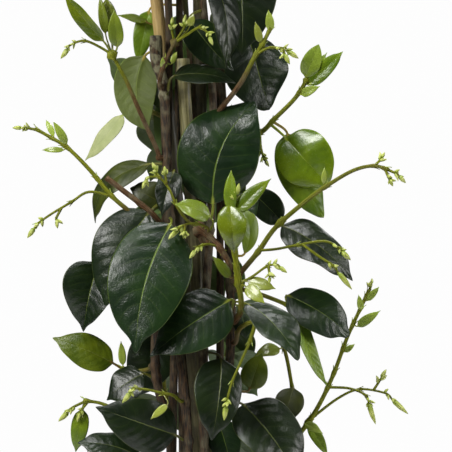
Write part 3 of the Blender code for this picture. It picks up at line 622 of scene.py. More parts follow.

# %% [markdown]
# ### Mottling and grain
# No living surface has one even colour. Broad clouds, about a centimetre wide on a leaf, shift the colour,
# a grain fourteen times finer breaks up the gloss, a net of small cells roughens the relief, and sparse specks
# stand for pores and dust, and on the leaves also for painted glints of sheen. All read object coordinates,
# so neighbouring leaves differ.

# %% Mottling group
mottle, given, put = new_group("mottle", "Vector", "Size", "Clouds Grain Specks Net")
broad = 1.0 / given["Size"]
put("Clouds", ramp(noise(given["Vector"], broad, 3.0), 0.3, 0.7))
put("Grain", noise(given["Vector"], broad * 14.0, 4.0))
put("Specks", ramp(noise(given["Vector"], broad * 30.0, 1.0), 0.68, 0.8))
put("Net", ramp(step("TexVoronoi", given["Vector"], None, broad * 9.0, feature="DISTANCE_TO_EDGE"), 0.0, 0.22))

# %% [markdown]
# ### Leaf finish
# The upper side has a waxy skin: a low roughness, and on young leaves a thin clear coat too. The underside is paler
# and dull. One material serves both sides of a leaf, because the third place number says which side a point is on,
# and it also colours the petiole.

# %% Leaf materials
COAT_ROUGH = 0.25
YOUNG_BACKLIT_GREEN = (0.38, 0.45, 0.08)
LEAF_PATCH = 0.011
HUE_RANGE = 0.488, 0.512


def darker(colour, share):
    """A colour with each part multiplied by a share."""
    return tuple(share * part for part in colour)


def leaf_finish(name, deep, light, vein, under, stalk, rough, vein_share, relief, coat=0.0, spread=(0.75, 1.3),
                tender=0.0):
    """Colours are linear red, green, blue. relief is the depth of the veins in metres.
    spread holds the darkest and the lightest that chance makes a leaf.
    The last argument is how far the smallest leaves turn to a pale green: partly the paler colour of young leaves,
    partly painted light that shines through thin leaves from behind."""
    material, tree, spot = new_material(name)
    place = kept(tree, "place")
    chance, length, stalked = split(kept(tree, "nature"))
    patches = use_group(tree, mottle, Vector=spot, Size=LEAF_PATCH)
    rib = use_group(tree, veins, Place=place, Count=8.5, Slant=0.2, Midrib=0.028, Wobble=noise(spot, 60.0) * 0.5)

    top = mix_colour(patches["Clouds"], deep, light)
    # The upper side takes the vein colour in its veins, in sparse specks that are partly pores and partly painted
    # glints, and in a thin line along the margin, a painted highlight where the rolled edge catches the light.
    for mask in (rib["Laterals"] * (vein_share * 0.09), patches["Specks"] * 0.08, rib["Midrib"] * vein_share,
                 rib["Margin"] * 0.35):
        top = mix_colour(mask, top, vein)
    bottom = mix_colour(patches["Clouds"], under, darker(under, 0.8))
    for mask in (rib["Laterals"] * 0.12, rib["Midrib"] * 0.4):
        bottom = mix_colour(mask, bottom, vein)
    lit = ramp(split(place)[2], -0.2, 0.2)
    colour = mix_colour(lit, bottom, top)
    # Small leaves turn pale green: partly their own young colour, partly painted back light shining through them.
    if tender:
        colour = mix_colour(ramp(length, 9.0, 24.0, tender, 0.0), colour, YOUNG_BACKLIT_GREEN)
    petiole = mix_colour(chance, darker(stalk, 0.35), stalk)
    colour = mix_colour(ramp(stalked, 0.1, 0.9), colour, petiole)
    hue, value = (ramp(chance, 0.0, 1.0, *ends) for ends in (HUE_RANGE, spread))
    shade = step("HueSaturation", hue, None, value, None, colour)

    gloss = mix_number(patches["Grain"], rough - 0.07, rough + 0.08)
    dull = mix_number(patches["Grain"], 0.5, 0.7)
    height = rib["Pillow"] * ramp(length, 8.0, 60.0, 0.03, 0.42) - rib["Midrib"] * 0.3
    height = height + patches["Grain"] * 0.05 + patches["Net"] * 0.07
    height = height + patches["Clouds"] * ramp(length, 8.0, 45.0, 0.15, 0.75)
    finish_material(tree, {
        "Base Color": shade, "Roughness": mix_number(lit, dull, gloss), "Coat Weight": coat,
        "Coat Roughness": COAT_ROUGH}, height, strength=0.8, depth=relief)
    return material


LEAF_TONES = {
    "dark": dict(deep=(0.004, 0.013, 0.003), light=(0.010, 0.025, 0.004), vein=(0.18, 0.24, 0.04),
                 under=(0.07, 0.12, 0.022), stalk=(0.24, 0.26, 0.03), rough=0.33, vein_share=0.6, relief=0.0005),
    "mid": dict(deep=(0.065, 0.118, 0.003), light=(0.155, 0.22, 0.007), vein=(0.22, 0.27, 0.03),
                under=(0.10, 0.125, 0.018), stalk=(0.36, 0.25, 0.03), rough=0.4, vein_share=0.5, relief=0.0004),
    "young": dict(deep=(0.07, 0.115, 0.003), light=(0.15, 0.205, 0.006), vein=(0.33, 0.38, 0.04),
                  under=(0.2, 0.25, 0.02), stalk=(0.3, 0.34, 0.03), rough=0.25, vein_share=0.35, relief=0.0004,
                  coat=0.35, spread=(0.9, 1.25), tender=0.65),
    # shade holds the colours of leaves at the back, in the shade of the plant: duller than dark leaves, and lighter
    # and more olive, as painted light that shines through them from behind.
    "shade": dict(deep=(0.018, 0.028, 0.0015), light=(0.05, 0.064, 0.003), vein=(0.14, 0.16, 0.01),
                  under=(0.06, 0.075, 0.008), stalk=(0.2, 0.2, 0.03), rough=0.45, vein_share=0.4, relief=0.0003),
    "pale": dict(deep=(0.28, 0.31, 0.12), light=(0.40, 0.41, 0.2), vein=(0.5, 0.5, 0.28),
                 under=(0.36, 0.38, 0.17), stalk=(0.3, 0.34, 0.08), rough=0.6, vein_share=0.3, relief=0.0002),
}
for tone, numbers in LEAF_TONES.items():
    FINISHES[tone] = leaf_finish(f"leaf_{tone}", **numbers)
print("leaf finishes:", ", ".join(FINISHES))

# %% [markdown]
# ### Bark, green stalks and bamboo
# All three show fibres that run along the piece. The fibre group stretches a noise along the piece
# by reading the distance round it many times faster than the distance along it.

# %% Fibre group
fibre, given, put = new_group("fibre", "Place Vector", "Length", "Streaks Cracks Blotches")
along, around, _ = split(given["Place"])
angle = around * math.pi
stretched = step("CombineXYZ", reckon("COSINE", angle), reckon("SINE", angle), along * given["Length"])
put("Streaks", ramp(noise(stretched, 3.2, 4.0), 0.3, 0.7))
put("Cracks", ramp(noise(stretched, 7.0, 2.0), 0.56, 0.66))
put("Blotches", ramp(noise(given["Vector"], 170.0, 3.0), 0.42, 0.66))


# %% Bark and stalk material
WEATHERED_GREY, CRACK_BROWN = (0.2, 0.185, 0.105), (0.01, 0.007, 0.005)
CUT_RIM, CUT_WOOD = (0.03, 0.02, 0.014), (0.34, 0.25, 0.15)


def stalk_finish(name, wood, green, shine):
    """Brown bark where the second nature number is 1, green skin where it is 0.
    wood and green each hold a dark and a light colour."""
    material, tree, spot = new_material(name)
    place = kept(tree, "place")
    chance, woody, length = split(kept(tree, "nature"))
    grain = use_group(tree, fibre, Place=place, Length=length * 0.06, Vector=spot)
    bark, skin = (mix_colour(grain["Streaks"], *pair) for pair in (wood, green))
    bark = mix_colour(reckon("MINIMUM", grain["Blotches"] * chance, 1.0), bark, WEATHERED_GREY)
    bark = mix_colour(grain["Cracks"] * 0.6, bark, CRACK_BROWN)
    turn = ramp(woody + grain["Streaks"] * 0.3, 0.35, 0.95)
    colour = mix_colour(turn, skin, bark)
    cut = split(place)[2]
    colour = mix_colour(ramp(cut, 0.3, 0.5), colour, CUT_RIM)
    colour = mix_colour(ramp(cut, 0.7, 0.95), colour, CUT_WOOD)
    finish_material(tree, {
        "Base Color": colour, "Roughness": mix_number(turn, 0.42, 0.72), "Specular IOR Level": shine},
        grain["Streaks"] - grain["Cracks"] * 0.6, strength=0.7, depth=0.0003)
    return material


# The stem bark is darker than the twig bark, nearly black in its deepest streaks: partly the bark's own brown, partly
# painted shade of the crowded inside of the plant.
FINISHES["stem"] = stalk_finish("stem_bark", wood=((0.004, 0.003, 0.0015), (0.095, 0.05, 0.018)),
                                green=((0.13, 0.17, 0.03), (0.2, 0.26, 0.05)), shine=0.5)
FINISHES["twig"] = stalk_finish("twig_skin", wood=((0.05, 0.02, 0.008), (0.16, 0.085, 0.035)),
                                green=((0.11, 0.13, 0.004), (0.26, 0.28, 0.02)), shine=0.18)


# %% Flower buds
CALYX, PETAL_SEAM = (0.22, 0.3, 0.02), (0.3, 0.42, 0.06)


def bud_finish():
    """Green calyx that passes into a pale greenish-white bud towards its tip."""
    material, tree, spot = new_material("bud_skin")
    along, around, _ = split(kept(tree, "place"))
    patches = use_group(tree, mottle, Vector=spot, Size=0.004)
    petal = mix_colour(patches["Clouds"], (0.40, 0.46, 0.07), (0.60, 0.64, 0.2))
    wound = reckon("SINE", around * 15.7 + along * 6.0)
    petal = mix_colour(ramp(wound, 0.3, 1.0, 0.0, 0.35), petal, PETAL_SEAM)
    finish_material(tree, {
        "Base Color": mix_colour(ramp(along, 0.15, 0.5), CALYX, petal),
        "Roughness": mix_number(patches["Grain"], 0.4, 0.6)}, wound, strength=0.4, depth=0.0002)
    return material


FINISHES["bud"] = bud_finish()


# %% Bamboo material
STRAW = (0.37, 0.24, 0.08), (0.57, 0.41, 0.16)
AGED_AND_SHADED_STRAW = (0.13, 0.12, 0.045), (0.32, 0.29, 0.13)
ROTTEN_AND_SHADED, MOULD, RING_DIRT_AND_SHADE = (0.035, 0.028, 0.016), (0.03, 0.026, 0.02), (0.07, 0.055, 0.04)


def bamboo_finish():
    """Straw-coloured canes that turn dark greyish brown and almost black inside the foliage, partly by weathering and
    partly as painted shade. Rings of grime darken the nodes, and painted shade darkens the bore of a cut top.
    """
    material, tree, spot = new_material("bamboo_skin")
    weathered_and_shaded, ring, length = split(kept(tree, "nature"))
    grain = use_group(tree, fibre, Place=kept(tree, "place"), Length=length * 0.02, Vector=spot)
    straw, aged_and_shaded = (mix_colour(grain["Streaks"], *pair) for pair in (STRAW, AGED_AND_SHADED_STRAW))
    # Darker lower down, inside the foliage: partly weathering, partly painted shade.
    colour = mix_colour(ramp(weathered_and_shaded, 0.0, 0.7), straw, aged_and_shaded)
    colour = mix_colour(ramp(weathered_and_shaded, 0.7, 1.0), colour, ROTTEN_AND_SHADED)
    colour = mix_colour(grain["Blotches"] * (weathered_and_shaded * 0.5 + 0.05), colour, MOULD)
    # The ring number darkens the cane: grime at the nodes, painted shade deep in the bore.
    finish_material(tree, {
        "Base Color": mix_colour(ring * 0.75, colour, RING_DIRT_AND_SHADE),
        "Roughness": mix_number(grain["Streaks"], 0.38, 0.6)}, grain["Streaks"], strength=0.5, depth=0.0002)
    return material


FINISHES["bamboo"] = bamboo_finish()


# %% Pot and compost materials
SCUFF, DUST = (0.12, 0.12, 0.11), (0.2, 0.16, 0.12)
BARK_CRUMB, PALE_FIBRE = (0.11, 0.06, 0.03), (0.2, 0.14, 0.08)
DUST_HEIGHT = 0.06


def pot_finish():
    """Matt moulded plastic: nearly black, greyer where it is scuffed, with a film of dust towards its foot."""
    material, tree, spot = new_material("pot_plastic")
    patches = use_group(tree, mottle, Vector=spot, Size=0.03)
    low = ramp(split(spot)[2], 0.0, DUST_HEIGHT, 0.3, 0.04) * patches["Clouds"]
    colour = mix_colour(patches["Grain"], (0.018, 0.019, 0.02), (0.036, 0.037, 0.039))
    colour = mix_colour(patches["Specks"] * 0.2, colour, SCUFF)
    finish_material(tree, {
        "Base Color": mix_colour(low, colour, DUST),
        "Roughness": mix_number(patches["Grain"], 0.38, 0.62)}, patches["Grain"], strength=0.25, depth=0.0002)
    return material


def compost_finish():
    """Dark crumbs of peat and bark, with paler fibres here and there."""
    material, tree, spot = new_material("compost_crumb")
    chance = split(kept(tree, "nature"))[0]
    patches = use_group(tree, mottle, Vector=spot, Size=0.008)
    colour = mix_colour(patches["Clouds"], (0.012, 0.008, 0.005), (0.045, 0.027, 0.016))
    colour = mix_colour(chance * 0.8, colour, BARK_CRUMB)
    finish_material(tree, {
        "Base Color": mix_colour(patches["Specks"] * 0.5, colour, PALE_FIBRE),
        "Roughness": mix_number(patches["Grain"], 0.85, 1.0)}, patches["Grain"], strength=0.8, depth=0.0008)
    return material


FINISHES["pot"] = pot_finish()
FINISHES["compost"] = compost_finish()
print("materials:", len(FINISHES))

# %% [markdown]
# ## Where everything grows
# A plant is a set of middle lines. The tables below give those lines in millimetres, in the same frame as the solids:
# canes, woody stems, the leaves that sit on the stems, and the side shoots with their own leaves and flower stalks.
# Keeping them apart from the surface formulas means that a leaf can be moved without touching how a leaf is made.

# %% Canes and stems
CANES = {
    "cane_left": ((26, 4, 40), (-31, -3, 655)),
    "cane_front": ((20, -14, 40), (-3.9, -10.4, 484)),
    "cane_back": ((2, 18, 40), (4, 9, 648)),
}
STEMS = {
    "stem_front_left": (2.7, 3.2, [
        (-6, -24, 118.4), (-4, -22, 200), (-2, -20, 290), (-9, -18, 370), (-12.5, -16.5, 430),
        (-14, -15.5, 468), (-17.5, -15, 482), (-18.2, -14.6, 495)]),
    "stem_left": (2.6, 1.7, [
        (-26, -12, 118.4), (-20, -15, 220), (-10.5, -14, 287), (-18.5, -13.5, 332), (-13.5, -10.5, 400),
        (-12.2, -8.2, 460), (-12, -8.5, 513), (-19.5, -14, 580), (-24, -12, 640)]),
    "stem_front": (2.5, 1.6, [
        (28, -25, 118.4), (18, -22, 200), (6.5, -20.5, 287), (6, -18.5, 345), (9, -14.5, 400),
        (10.5, -9.5, 460), (5.5, -8, 513), (0, -3, 580), (-4, -1, 640)]),
    "stem_right": (2.6, 1.6, [
        (30, 4, 118.4), (22, -2, 200), (16.5, -5, 287), (19.5, -8, 345), (18, -3, 400),
        (15.5, 1, 460), (12, 2, 513), (13, -1, 580), (9, 2, 648)]),
    "stem_back_right": (2.3, 1.5, [
        (18, 22, 118.4), (15, 18, 220), (14, 13, 320), (14, 11.5, 400), (12.5, 9.5, 513),
        (13, 10, 600)]),
    "stem_back_left": (2.4, 1.5, [
        (-16, 20, 118.4), (-12, 15, 220), (-9.5, 11.5, 320), (-8.5, 9.5, 400), (-6.5, 8, 513),
        (-8, 6, 580), (-10, 9, 632)]),
    "stem_core": (2.0, 1.3, [
        (-2, 0, 118.4), (-5, 3, 287), (-5, 8, 345), (0, 6.5, 400), (0.5, 3, 460), (-3.5, 0, 513), (-5, 1.5, 560)]),
}

# %% Leaves on the stems: stem, height of the seat, blade
STEM_LEAVES = {
    "leaf_top_left": ("stem_front", 537, leaf((9, -19, 530), (18.5, -31, 479), 24, 4, 0, 12, (0.75, -0.7, 0.05))),
    "leaf_top_centre": ("stem_right", 538, leaf((22.5, 3, 534), (25, -10, 485.5), 36, 4, -1, face=(0.1, -1, -0.1))),
    "leaf_upper_right": ("stem_right", 492, leaf((28, 3, 497), (39.5, 0, 459), 36, 3, 2, 8, (0.32, -0.86, 0.49))),
    "leaf_across": ("stem_front_left", 465, leaf((-9, -22, 474.5), (22, -19, 472), 19, 3, 0, 8, (0, -0.55, 0.85))),
    "leaf_centre": ("stem_front", 404, leaf((10.5, -21, 411), (31, -22, 462), 41, 4, -6, 2, (-0.07, -1, 0.16))),
    "leaf_front_left": ("stem_front_left", 404, leaf((-10.5, -27, 401), (-27.5, -43, 337.5), 41, 5, 4, 8)),
    "leaf_behind_left": ("stem_left", 412, leaf((-21, -20.5, 407), (-43, -24, 360), 33, 4, 3, 8, (-0.2, -1, 0.3))),
    "leaf_arched": ("stem_left", 431, leaf((-21, -10.2, 431), (-50, 5, 402), 17, 11, 0, 10,
                       (-0.35, -0.7, 0.6), "shade")),
    "leaf_underside": ("stem_back_left", 486, leaf((-24, 6, 486), (-22, 5, 448.5), 23, -2, -5, 8,
                       (0.25, 1, 0.1), "mid")),
    "leaf_green_top": ("stem_back_left", 501, leaf((-23, 5, 503), (-38, 6, 507), 7, 1, 0, 8, (0, -0.6, 0.8), "mid")),
    "leaf_diagonal": ("stem_right", 357, leaf((18.5, -24, 363), (-21, -32, 336), 31, 3, 0, 6, (0.15, -0.9, 0.5))),
    "leaf_shiny": ("stem_right", 362, leaf((27.5, -18, 361), (53, -36, 334.5), 25, 4, 0, 12, (0.35, -0.65, 0.75))),
    "leaf_small_right": ("stem_right", 410, leaf((30, 1, 417), (46, 3, 401), 16, 2, 0, 8, (0.1, -1, 0.3))),
    "leaf_low_left": ("stem_front_left", 293, leaf((-8, -25, 296), (-47, -36, 310.5), 27, 4, 0, 8, (0.05, -1, 0.05))),
    "leaf_low_shade": ("stem_left", 324, leaf((-24.5, -14, 326), (-43, -12, 313), 20, 2, 0, 8, (-0.2, -0.8, 0.5))),
    "leaf_low_centre": ("stem_front", 337, leaf((14.5, -24, 334), (10, -33, 294), 25, 4, 0, 8, (0.3, -0.95, 0.15))),
    "leaf_low_right": ("stem_right", 311, leaf((25.5, -10, 310.5), (54, -24, 271), 36, 5, 0, 18,
                       (0.35, -0.85, 0.45))),
    "leaf_olive": ("stem_right", 318, leaf((29, -2, 318), (35, -4, 336), 14, 1, 0, 8, tone="mid")),
    "leaf_bright_left": ("stem_front", 398, young((9, -30, 404.5), (-8, -34, 411), 12, 2, 0, 8, (0, -0.8, 0.6))),
    "leaf_bottom_left": ("stem_left", 281, leaf((-26, -12, 284), (-57, -14, 292), 22, 3, 0, 8, (-0.2, -0.6, 0.8))),
}

# %% Side shoots: stem, height, thickness, middle line, flower stalks, leaves
SHOOTS = {
    "shoot_top_left": Shoot("stem_front_left", 434, (1.3, 0.9), [
        (-17, -19, 437), (-26, -22, 457), (-32.5, -23, 472), (-39.5, -24, 485)],
        [[(-40, -24, 484), (-44, -25, 488), (-53, -26, 492), (-60, -27, 490), (-65, -28, 483)]],
        [young((-44, -25, 492), (-64, -28, 516), 10, 1, 0, 24, (-0.4, -0.8, -0.3)),
         young((-43, -22, 496), (-46, -20, 515), 5, 1, 0, 16),
         young((-40, -21, 496), (-43, -16, 515), 8.5),
         young((-37, -26, 489), (-38.5, -30, 507), 8, 1, 0, 16)]),
    "shoot_left": Shoot("stem_left", 396, (1.3, 0.8), [
        (-22, -17, 398), (-31, -18, 407), (-40, -18, 415), (-51, -18, 428), (-62, -18, 439), (-71, -18, 444.5),
        (-78, -18, 448.5)],
        [[(-40, -18, 415), (-51.5, -19, 417), (-60, -20, 412), (-70, -21, 406), (-77, -21, 401), (-82, -21, 394)],
         [(-65, -20, 409), (-67.5, -21, 404), (-67, -21, 399)],
         [(-77, -18, 448), (-83, -18, 449), (-89.5, -18, 449)]],
        [young((-62.5, -19, 441), (-69, -22, 452), 4.5, 1, 0, 6, (0.1, -1, 0.15)),
         young((-69, -18, 445), (-73, -14, 453), 3.2, 1, 0, 6, (0.1, -1, 0.15)),
         young((-64, -17, 438), (-75, -14, 438), 3, 1, 0, 6, (0.1, -1, 0.15))]),
    "shoot_young_top": Shoot("stem_front_left", 470, (1.2, 1.0), [
        (-16, -21.5, 473), (-13.5, -24, 481), (-8.5, -25, 491)],
        [[(-8.5, -25, 491), (-10, -26, 498), (-9.5, -25, 504)],
         [(-8.5, -25, 491), (-4, -27, 498), (-3, -27, 505)],
         [(-8.5, -25, 491), (-2, -31, 495), (4, -38, 498), (8, -41, 495), (10.5, -43, 489)]],
        [young((-14, -23, 478), (-14.5, -26, 484), 3, 0.5, 0, 5),
         young((-10, -20.5, 481), (-7.5, -20, 487), 3, 0.5, 0, 5),
         young((-1, -31, 499), (1, -33, 505), 4, 0.5, 0, 5)]),
    "shoot_upper_right": Shoot("stem_front", 455, (1.5, 0.9), [
        (14, -16, 458), (24, -28, 470.5), (31, -29, 483.5), (35, -29, 490), (39, -29, 498)],
        [[(32, -29, 485), (39, -31, 488.5), (45, -32, 487), (48.5, -33, 480)],
         [(39, -31, 488.5), (46, -30, 488), (53, -30, 483)]],
        [young((39, -29, 497), (38, -31, 507), 4.5, 0.5),
         young((34, -30, 491), (31.5, -32, 501), 4, 0.5)]),
    "shoot_right_fork": Shoot("stem_right", 438, (1.4, 1.0), [
        (24, 2, 442), (35, 0, 447.5), (41.5, -2, 454), (51.5, -5, 464), (57.5, -6, 473)],
        [[(34, 0, 447), (34.5, -4, 440), (36, -6, 434), (38.5, -7, 430)]],
        [leaf((48, 1, 446.5), (66.5, -3, 404.5), 21, 3, 3, 8, (0.1, -1, 0.3), "mid"),
         young((57, -7, 475), (63.5, -10, 491), 10, 1, 0, 12, (0.08, -1, 0.16)),
         young((58, -5, 474), (68, -2, 487.5), 5, 1, 0, 12, (0.1, -1, 0.1)),
         young((59, -7, 471), (75.5, -10, 487.5), 9, 1, 0, 12, (-0.2, -1, 0.1)),
         young((55, -7, 466), (64, -11, 470), 5, 1, 0, 8, (-0.1, -1, 0.1))]),
    "shoot_long_right": Shoot("stem_right", 372, (1.5, 0.8), [
        (24, -11, 376), (33, -13, 387), (42, -14, 399.5), (57, -16, 412.5), (66.5, -17, 419.5), (80, -19, 427.5),
        (90.5, -20, 430), (98, -21, 428)],
        [[(97, -21, 428), (102, -21, 426), (106.5, -21, 421.5)],
         [(96, -21, 428.5), (98, -22, 424), (100, -22, 420)],
         [(91, -20, 430), (94, -20, 433), (96, -20, 436.5)],
         [(34, -13, 387.5), (42, -18, 388.5), (52.5, -23, 390.5), (66, -25, 392.5), (73, -25, 389), (79, -25, 383)],
         [(55, -23.5, 391), (63, -24.5, 385), (70, -25, 380.5), (80, -24, 368)]],
        [leaf((45, -6, 400), (80.5, -10, 372.5), 27, 5, face=(0.15, -0.65, 0.75)),
         young((66, -17, 421), (66, -19, 429), 3, 0.5, 0, 5)]),
    "shoot_centre": Shoot("stem_right", 352, (1.6, 1.2), [
        (24, -19, 357), (24.5, -25, 363), (23, -30, 373), (21.5, -33, 386), (20, -33, 398), (20, -33, 406)],
        [[(20, -33, 405), (21.5, -35, 413), (23.5, -37, 421)],
         [(23.3, -30, 371), (30, -34, 375), (37, -37, 380), (42, -38, 381), (47, -39, 377)],
         [(38, -37, 380.5), (38.5, -38, 376), (38.5, -38, 372)]],
        [young((21, -36, 387), (19, -38, 410), 17, 5, 0, 30),
         leaf((26, -31, 386), (25.5, -28, 409), 11, 3, 2, 12, (0.5, -0.9, 0.2), "mid"),
         young((19.5, -34, 407), (19.5, -36, 427.5), 7, 1, 0, 15, (-0.3, -0.9, 0)),
         young((22, -34, 407), (39, -38, 423.5), 8.5, 1, 0, 12),
         leaf((19, -32, 374.5), (10.5, -34, 385), 5.5, 1, tone="mid"),
         young((28, -33, 372.5), (41.5, -38, 369), 7),
         young((27, -34, 370), (36, -40, 362), 7, face=(0, -1, 0))]),
    "twig_cut": Shoot("stem_front_left", 399, (1.3, 1.4), [
        (-16, -24, 402), (-21, -27.5, 407.5), (-30, -28, 414.5), (-42.5, -28, 424)],
        [], []),
    "stalk_left": Shoot("stem_front", 392, (1.6, 1.6), [
        (3.5, -22, 398), (8, -26, 395.5), (14, -28, 389), (18, -28.5, 382.5), (18.5, -28, 378.5)],
        [[(8, -26.5, 396), (8, -29, 399), (3, -31, 401), (-2, -32.5, 401), (-6, -33.5, 399), (-11.5, -36, 393.5)],
         [(-3, -33, 400.5), (-3.5, -34, 397.5), (-3, -34, 394)],
         [(13.5, -28, 389.5), (8, -30, 391), (3, -31, 389.5), (-1, -33.5, 384)],
         [(3, -23, 398.5), (-3, -27, 403.5), (-8, -29, 411), (-11, -29, 418), (-16, -29, 424), (-22, -30, 424),
          (-24.5, -31, 418.5)],
         [(-15, -29, 423.5), (-18, -29, 427), (-19.5, -29, 431.5)],
         [(-12.5, -29, 420.5), (-13, -29, 425), (-13.5, -29, 429.5)]],
        []),
    "stalk_front": Shoot("stem_right", 342, (1.3, 1.0), [
        (24, -16, 349), (31, -27, 352), (29, -33, 343)],
        [[(29, -33, 343), (24, -35, 332), (20, -36, 323), (17.5, -37, 314), (16, -38, 304)]],
        []),
    "shoot_far_right": Shoot("stem_right", 262, (1.4, 0.8), [
        (26, 4, 264), (45, 8, 284), (57, 10, 298), (65, 12, 310.5), (72, 14, 325.5), (79, 16, 344),
        (86.5, 18, 360), (90.5, 19, 368)],
        [[(69, 13, 318), (80, 11, 317.5), (88, 10, 314), (93, 9, 299)],
         [(60, 10.5, 302), (74, 13, 312.5), (85, 14, 317), (98, 14, 315), (110, 14, 304)],
         [(92, 14, 316.5), (95, 15, 321), (98.5, 15, 327)],
         [(89.5, 19, 366), (91, 19, 369.5), (91.5, 19, 373)]],
        [young((84, 16, 349), (95.5, 14, 357), 5, 1, 0, 6, (0.05, -1, 0.15)),
         young((89, 18, 362), (95, 17, 369), 3.5, 0.5, 0, 6, (0.05, -1, 0.15)),
         young((86, 17, 357), (84.5, 16, 365), 3.5, 0.5, 0, 6, (0.05, -1, 0.15)),
         young((77.5, 15, 336), (82.5, 14, 340), 3, 0.5, 0, 6, (0.05, -1, 0.15)),
         young((57, 8, 300), (66, 6, 295), 5, 1, 0, 16),
         young((59, 12, 299), (69, 12, 283), 6.5, 1, 0, 16)]),
    "stalk_low_left": Shoot("stem_front_left", 313, (0.9, 0.8), [
        (-9, -30, 316), (-14, -38, 317.5)],
        [[(-14, -38, 317.5), (-22, -42, 319.5), (-28.5, -43, 320), (-34, -44, 313)]],
        [young((-12, -41, 312), (-20, -44, 305), 4, 0.5, 0, 8)]),
    "shoot_pale_low": Shoot("stem_left", 300, (1.0, 0.8), [
        (-20, -18, 303), (-33, -15, 306), (-45, -12, 311), (-53.5, -12, 312.5)],
        [[(-53, -12, 312.5), (-60, -12, 309), (-67, -12, 302)],
         [(-52, -12, 312), (-56, -12, 307), (-57.5, -12, 302)]],
        [young((-55, -10, 308), (-58.5, -8, 286.5), 9)]),
    "shoot_low_left": Shoot("stem_left", 330, (1.2, 1.0), [
        (-22, -6, 328), (-28, -4, 327), (-35, -3, 328)],
        [], [leaf((-40, -3, 331), (-70, -6, 344), 19, 2, 0, 8, (-0.1, -0.9, 0.5), "mid"),
         young((-35, -1, 330), (-36, 0, 342), 4, 0.5, 0, 8)]),
    "shoot_mid_left": Shoot("stem_left", 388, (1.2, 1.0), [
        (-23, -14, 387), (-36, -8, 386), (-43, -5, 384)],
        [], [leaf((-47, -5, 382), (-55, -7, 347), 33, 3, 0, 35, (-0.2, -1, 0.2))]),
    "shoot_right_low": Shoot("stem_right", 368, (1.2, 1.0), [
        (25, -3, 368), (33, -1, 366), (46, 1, 361), (53, -3, 357)],
        [], [leaf((48, -6, 365), (79, -11, 345.5), 24, 4, 0, 8, (0.1, -0.85, 0.5)),
         leaf((55, -9, 355), (68.5, -17, 320.5), 10, 2, 5.5, 20, (0.6, -0.8, 0.2), "mid")]),
    "shoot_right_down": Shoot("stem_right", 352, (1.1, 0.9), [
        (26, 4, 351), (38, 6, 350), (46, 6, 339), (50, 6, 321), (52, 6, 306)],
        [], [leaf((51, 3, 318), (46, -2, 301), 15, tone="shade"),
         young((44, 4, 338), (31, 0, 334), 8, 2, 0, 12, (0, -0.8, 0.5))]),
    "shoot_back_left": Shoot("stem_back_left", 452, (1.3, 1.0), [
        (-16, 17, 456), (-26, 25, 460), (-34, 30, 459)],
        [], [leaf((-36, 31, 457), (-56, 36, 434), 11, 3, -3, 8, (-0.3, -0.8, 0.5), "pale"),
         leaf((-28, 28, 463), (-44, 44, 487), 22, 3, face=(-0.3, 0.6, 0.7)),
         leaf((-20, 22, 455), (-10, 44, 432), 24, 4, face=(0, 0.9, 0.4))]),
}

# %% Leafy shoots by rule: stem, height, turn in degrees, reach, rise, leaf length, leaf pairs
FILL_SHOOTS = {
    "shoot_crown_front": ("stem_front", 548, 5, 24, 58, 44, 4),
    "shoot_crown_left": ("stem_left", 540, -88, 24, 60, 44, 4),
    "shoot_crown_right": ("stem_right", 558, 95, 22, 58, 44, 4),
    "shoot_crown_back": ("stem_back_left", 530, 182, 24, 62, 44, 4),
    "shoot_crown_tip": ("stem_right", 636, 60, 8, 40, 36, 3),
    "shoot_back_mid": ("stem_back_left", 368, 185, 24, 40, 36, 3),
    "shoot_back_low": ("stem_back_right", 258, 172, 24, 62, 38, 4),
    "shoot_foot_front": ("stem_front", 150, -5, 24, 70, 50, 4),
    "shoot_foot_left": ("stem_left", 160, -115, 24, 70, 50, 4),
    "shoot_foot_right": ("stem_right", 146, 110, 24, 66, 50, 4),
}

# %% [markdown]
# ## Pot and compost
# The pot is a thin tapered wall with a stiffening band round its rim. Turning a profile about the axis gives it all:
# base, wall, rim and inside. A Screw modifier would do the same from a drawn outline;
# here the profile is turned with numpy, and Boolean modifiers then cut the drain holes through the floor.

# %% Turned shapes
EDGE_ROUNDING, EDGE_SHARE, EDGE_STEPS = 1.5, 0.3, 4
TURNED_SIDES = 120
SKIRT_DEPTH, SKIRT_WIDTH = 6, 1


def rounded(profile):
    """Replaces each inner corner P of a profile by the curve A(1-t)^2 + P 2t(1-t) + B t^2 between nearby points,
    which lie 1.5 mm away but no further than a share of the way to the next corner."""
    profile = np.asarray(profile, float)
    t = np.linspace(0, 1, EDGE_STEPS + 1)[:, None]
    corner = profile[1:-1, None]
    a, b = (corner + (end - corner) * np.minimum(
        EDGE_ROUNDING / np.linalg.norm(end - corner, axis=-1, keepdims=True), EDGE_SHARE)
        for end in (profile[:-2, None], profile[2:, None]))
    curve = a * (1 - t) ** 2 + corner * 2 * t * (1 - t) + b * t * t
    return np.vstack([profile[:1], curve.reshape(-1, 2), profile[-1:]])


def turned_skin(profile, finish, lumps=0.0):
    """Each profile point (r, z) becomes a ring (r cos a, r sin a, z); lumps adds a sum of sines to the top."""
    angle = turns(TURNED_SIDES)
    r, z = profile[:, :1], profile[:, 1:]
    x, y = r * np.cos(angle), r * np.sin(angle)
    bumps = np.sin(0.31 * x + 1) * np.sin(0.27 * y) + 0.6 * np.sin(0.83 * x + 0.5 * y) * np.sin(0.7 * y - 0.4 * x)
    bumps = bumps + 0.4 * np.sin(1.9 * x - y) * np.sin(1.7 * y + x)
    free = (z > z.max() - SKIRT_DEPTH) & (r < r.max() - SKIRT_WIDTH)
    rings = triples(x, y, z + lumps * bumps * free)
    place = triples(np.linspace(0, 1, len(profile))[:, None], angle / np.pi - 1, 0.0)
    return skin_over(rings, place, np.zeros_like(rings), finish)


